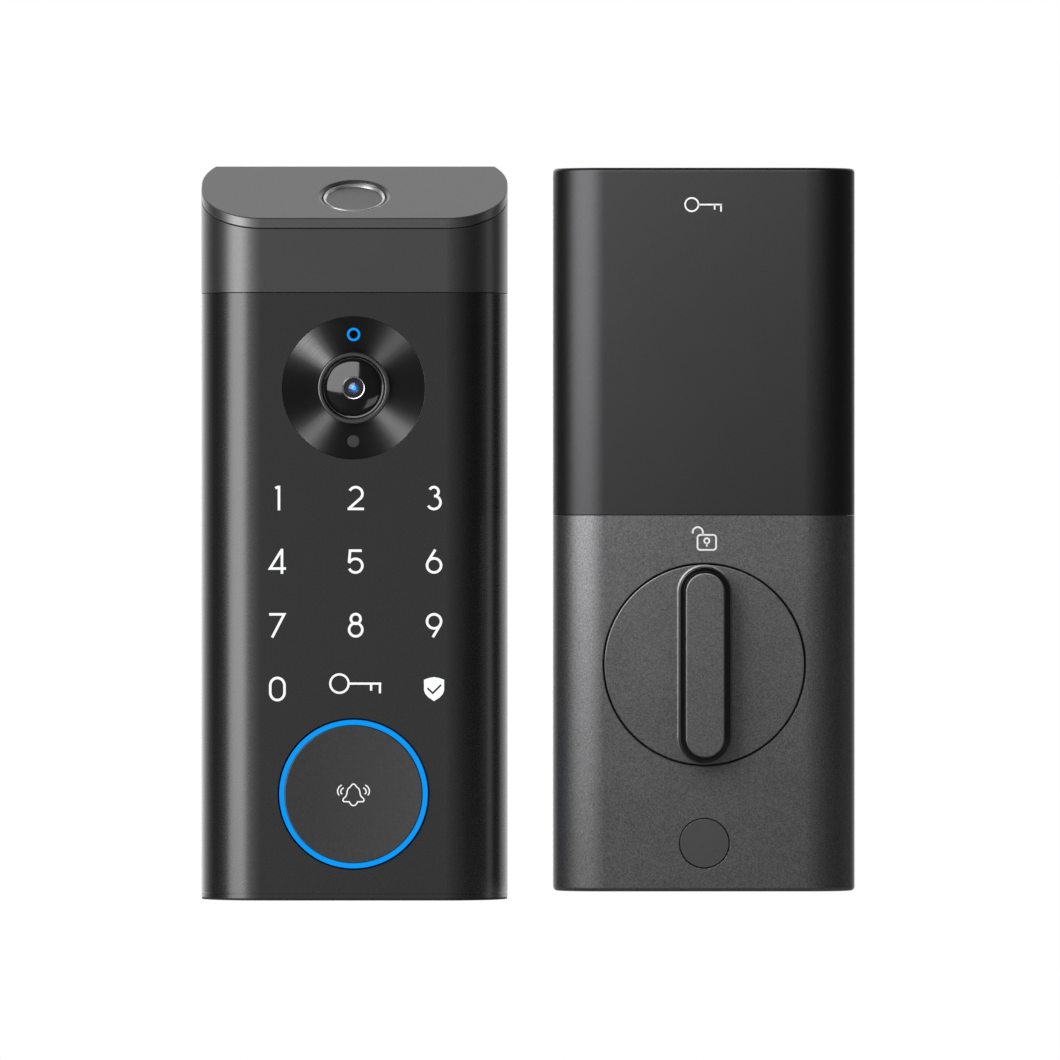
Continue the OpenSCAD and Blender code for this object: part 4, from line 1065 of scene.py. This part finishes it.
def floor():
    """A plain pale floor, under the object and in front of it."""
    bm = bmesh.new()
    block(bm, (-700, -500, -125), (800, 190, -120))
    bmesh.ops.scale(bm, vec=(MM, MM, MM), verts=bm.verts)
    mesh = bpy.data.meshes.new("floor")
    bm.to_mesh(mesh)
    bm.free()
    mesh.materials.append(grained("pale_floor", "#e6e6e6", "#ececec", 0.7, grain=6, height=0.1))
    thing = bpy.data.objects.new("floor", mesh)
    bpy.context.collection.objects.link(thing)


def softbox(name, place, aim, width, height, power, unit=None):
    """A rectangular soft light, at a place in metres, turned to what it lights. It may light one
    unit only, as a flagged lamp does."""
    light = bpy.data.lights.new(name, "AREA")
    light.shape, light.size, light.size_y, light.energy = "RECTANGLE", width, height, power
    thing = bpy.data.objects.new(name, light)
    thing.location = place
    thing.rotation_euler = (Vector(aim) - Vector(place)).to_track_quat("-Z", "Y").to_euler()
    bpy.context.collection.objects.link(thing)
    if unit:
        thing.light_linking.receiver_collection = lit_by[unit]
        thing.light_linking.blocker_collection = lit_by[unit]


# How bright the studio is at each bearing from straight ahead of the object, in degrees, left
# negative: dark flags beside the object, and a white wall behind it.
walls = ((-180, 1.9), (-150, 1.9), (-134, 1.1), (-118, 0.28), (-104, 0.05), (-80, 0.1),
         (-50, 0.45), (-27, 0.85), (-12, 0.5), (0, 0.34), (18, 0.24), (32, 0.12), (45, 0.05),
         (64, 0.03), (76, 0.1), (92, 0.3), (110, 0.14), (122, 0.2), (144, 0.8), (180, 1.9))
ceiling = 0.64                          # how bright the ceiling is, behind the object


def studio():
    """A studio of soft walls and a soft ceiling; the camera itself sees plain white."""
    world = bpy.data.worlds.new("studio")
    world.use_nodes = True
    scene.world = world
    tree = world.node_tree
    tree.nodes.clear()
    way = add(tree, "ShaderNodeTexCoord").outputs["Generated"]
    axes = add(tree, "ShaderNodeSeparateXYZ", {0: way})
    ahead = add(tree, "ShaderNodeMath", {0: axes.outputs["Y"], 1: -1.0}, operation="MULTIPLY")
    bearing = add(tree, "ShaderNodeMath", {0: axes.outputs["X"], 1: ahead.outputs[0]},
                  operation="ARCTAN2")
    share = add(tree, "ShaderNodeMapRange", {"Value": bearing.outputs[0], "From Min": -math.pi,
                                             "From Max": math.pi})
    ramp = add(tree, "ShaderNodeValToRGB", {0: share.outputs[0]})
    ramp.color_ramp.interpolation = "B_SPLINE"
    stops = ramp.color_ramp.elements
    for at, level in walls:
        stop = stops[0] if at == -180 else stops[-1] if at == 180 else stops.new(at / 360 + 0.5)
        stop.color = (level / 2, level / 2, level / 2, 1)
    high = add(tree, "ShaderNodeMapRange", {"Value": axes.outputs["Z"], "From Min": 0.6,
                                            "From Max": 0.85, "To Max": 1.0},
               interpolation_type="SMOOTHSTEP")
    rear = add(tree, "ShaderNodeMapRange", {"Value": axes.outputs["Y"], "From Min": 0.05,
                                            "From Max": 0.4, "To Min": 0.12, "To Max": ceiling},
               interpolation_type="SMOOTHSTEP")
    wall = add(tree, "ShaderNodeMath", {0: ramp.outputs[0], 1: 2.0}, operation="MULTIPLY")
    level = add(tree, "ShaderNodeMix", {0: high.outputs[0], 2: wall.outputs[0],
                                        3: rear.outputs[0]})
    ray = add(tree, "ShaderNodeLightPath")
    seen = add(tree, "ShaderNodeMix", {0: ray.outputs["Is Camera Ray"], 2: level.outputs[0],
                                       3: 1.0})
    glow = add(tree, "ShaderNodeBackground", {"Strength": seen.outputs[0]})
    glow.inputs["Color"].default_value = (1, 1, 1, 1)
    add(tree, "ShaderNodeOutputWorld", {"Surface": glow.outputs[0]})


# The pieces that one lamp is for form a collection. The bezel and the lens have their own lamps.
between = (half_w + in_x - in_half) / 2 * MM
small_sets = {"spun_bezel": "bezel", "camera_dome": "lens", "window_ring": "lens",
              "front_lens": "lens"}
lit_by = {name: bpy.data.collections.new(name)
          for name in ("outdoor_unit", "indoor_unit", "bezel", "lens")}
for thing in scene.objects:
    if thing.type == "MESH":
        middle_x = sum(corner[0] for corner in thing.bound_box) / 8
        unit = "outdoor_unit" if middle_x < between else "indoor_unit"
        lit_by[small_sets.get(thing.name, unit)].objects.link(thing)
floor()
studio()
outdoor_at, indoor_at = (0, -0.02, 0.03), (0.08, -0.03, 0.03)
softbox("outdoor_softbox", (-0.75, -0.68, 0.05), outdoor_at, 0.60, 1.8, 10.5, "outdoor_unit")
softbox("outdoor_strip", (1.0, -0.03, 0.05), outdoor_at, 0.22, 1.8, 0.9, "outdoor_unit")
softbox("outdoor_rim", (0.75, 0.75, 0.05), outdoor_at, 0.50, 1.8, 2.2, "outdoor_unit")
softbox("indoor_softbox", (-0.150, -0.333, 0.225), (0.08, -0.03, 0.225), 0.31, 0.40, 2.5,
        "indoor_unit")
softbox("indoor_rim", (-0.75, 0.75, 0.05), indoor_at, 0.50, 1.8, 3.0, "indoor_unit")
softbox("indoor_top", (0.10, -0.50, 0.30), indoor_at, 0.50, 0.20, 1.2, "indoor_unit")
lens_at = Vector((0, -front * MM, camera_at[1] * MM))
for name, angle, power in (("bezel_key", 317, 7.0), ("bezel_fill", 50, 3.6)):
    around = math.radians(angle)
    away = Vector((math.cos(around), -1.1, math.sin(around))).normalized()
    softbox(name, lens_at + 0.6 * away, lens_at, 0.12, 0.12, power, "bezel")
for name, away, width, height, power in (("lens_key", (-0.19, -0.45, 0.19), 0.50, 0.46, 8.0),
                                         ("lens_fill", (0.18, -0.42, -0.18), 0.22, 0.22, 0.6),
                                         ("lens_rim", (0.32, -0.30, -0.30), 0.30, 0.30, 1.0)):
    softbox(name, lens_at + Vector(away), lens_at, width, height, power, "lens")

# A long lens, level with the middle of the two units.
eye = bpy.data.cameras.new("camera")
eye.lens, eye.sensor_width = 369.8, 36
camera_object = bpy.data.objects.new("camera", eye)
camera_object.location = (0.0401, -2.5, 0.0305)
camera_object.rotation_euler = Euler((math.pi / 2, 0, 0))
bpy.context.collection.objects.link(camera_object)
scene.camera = camera_object
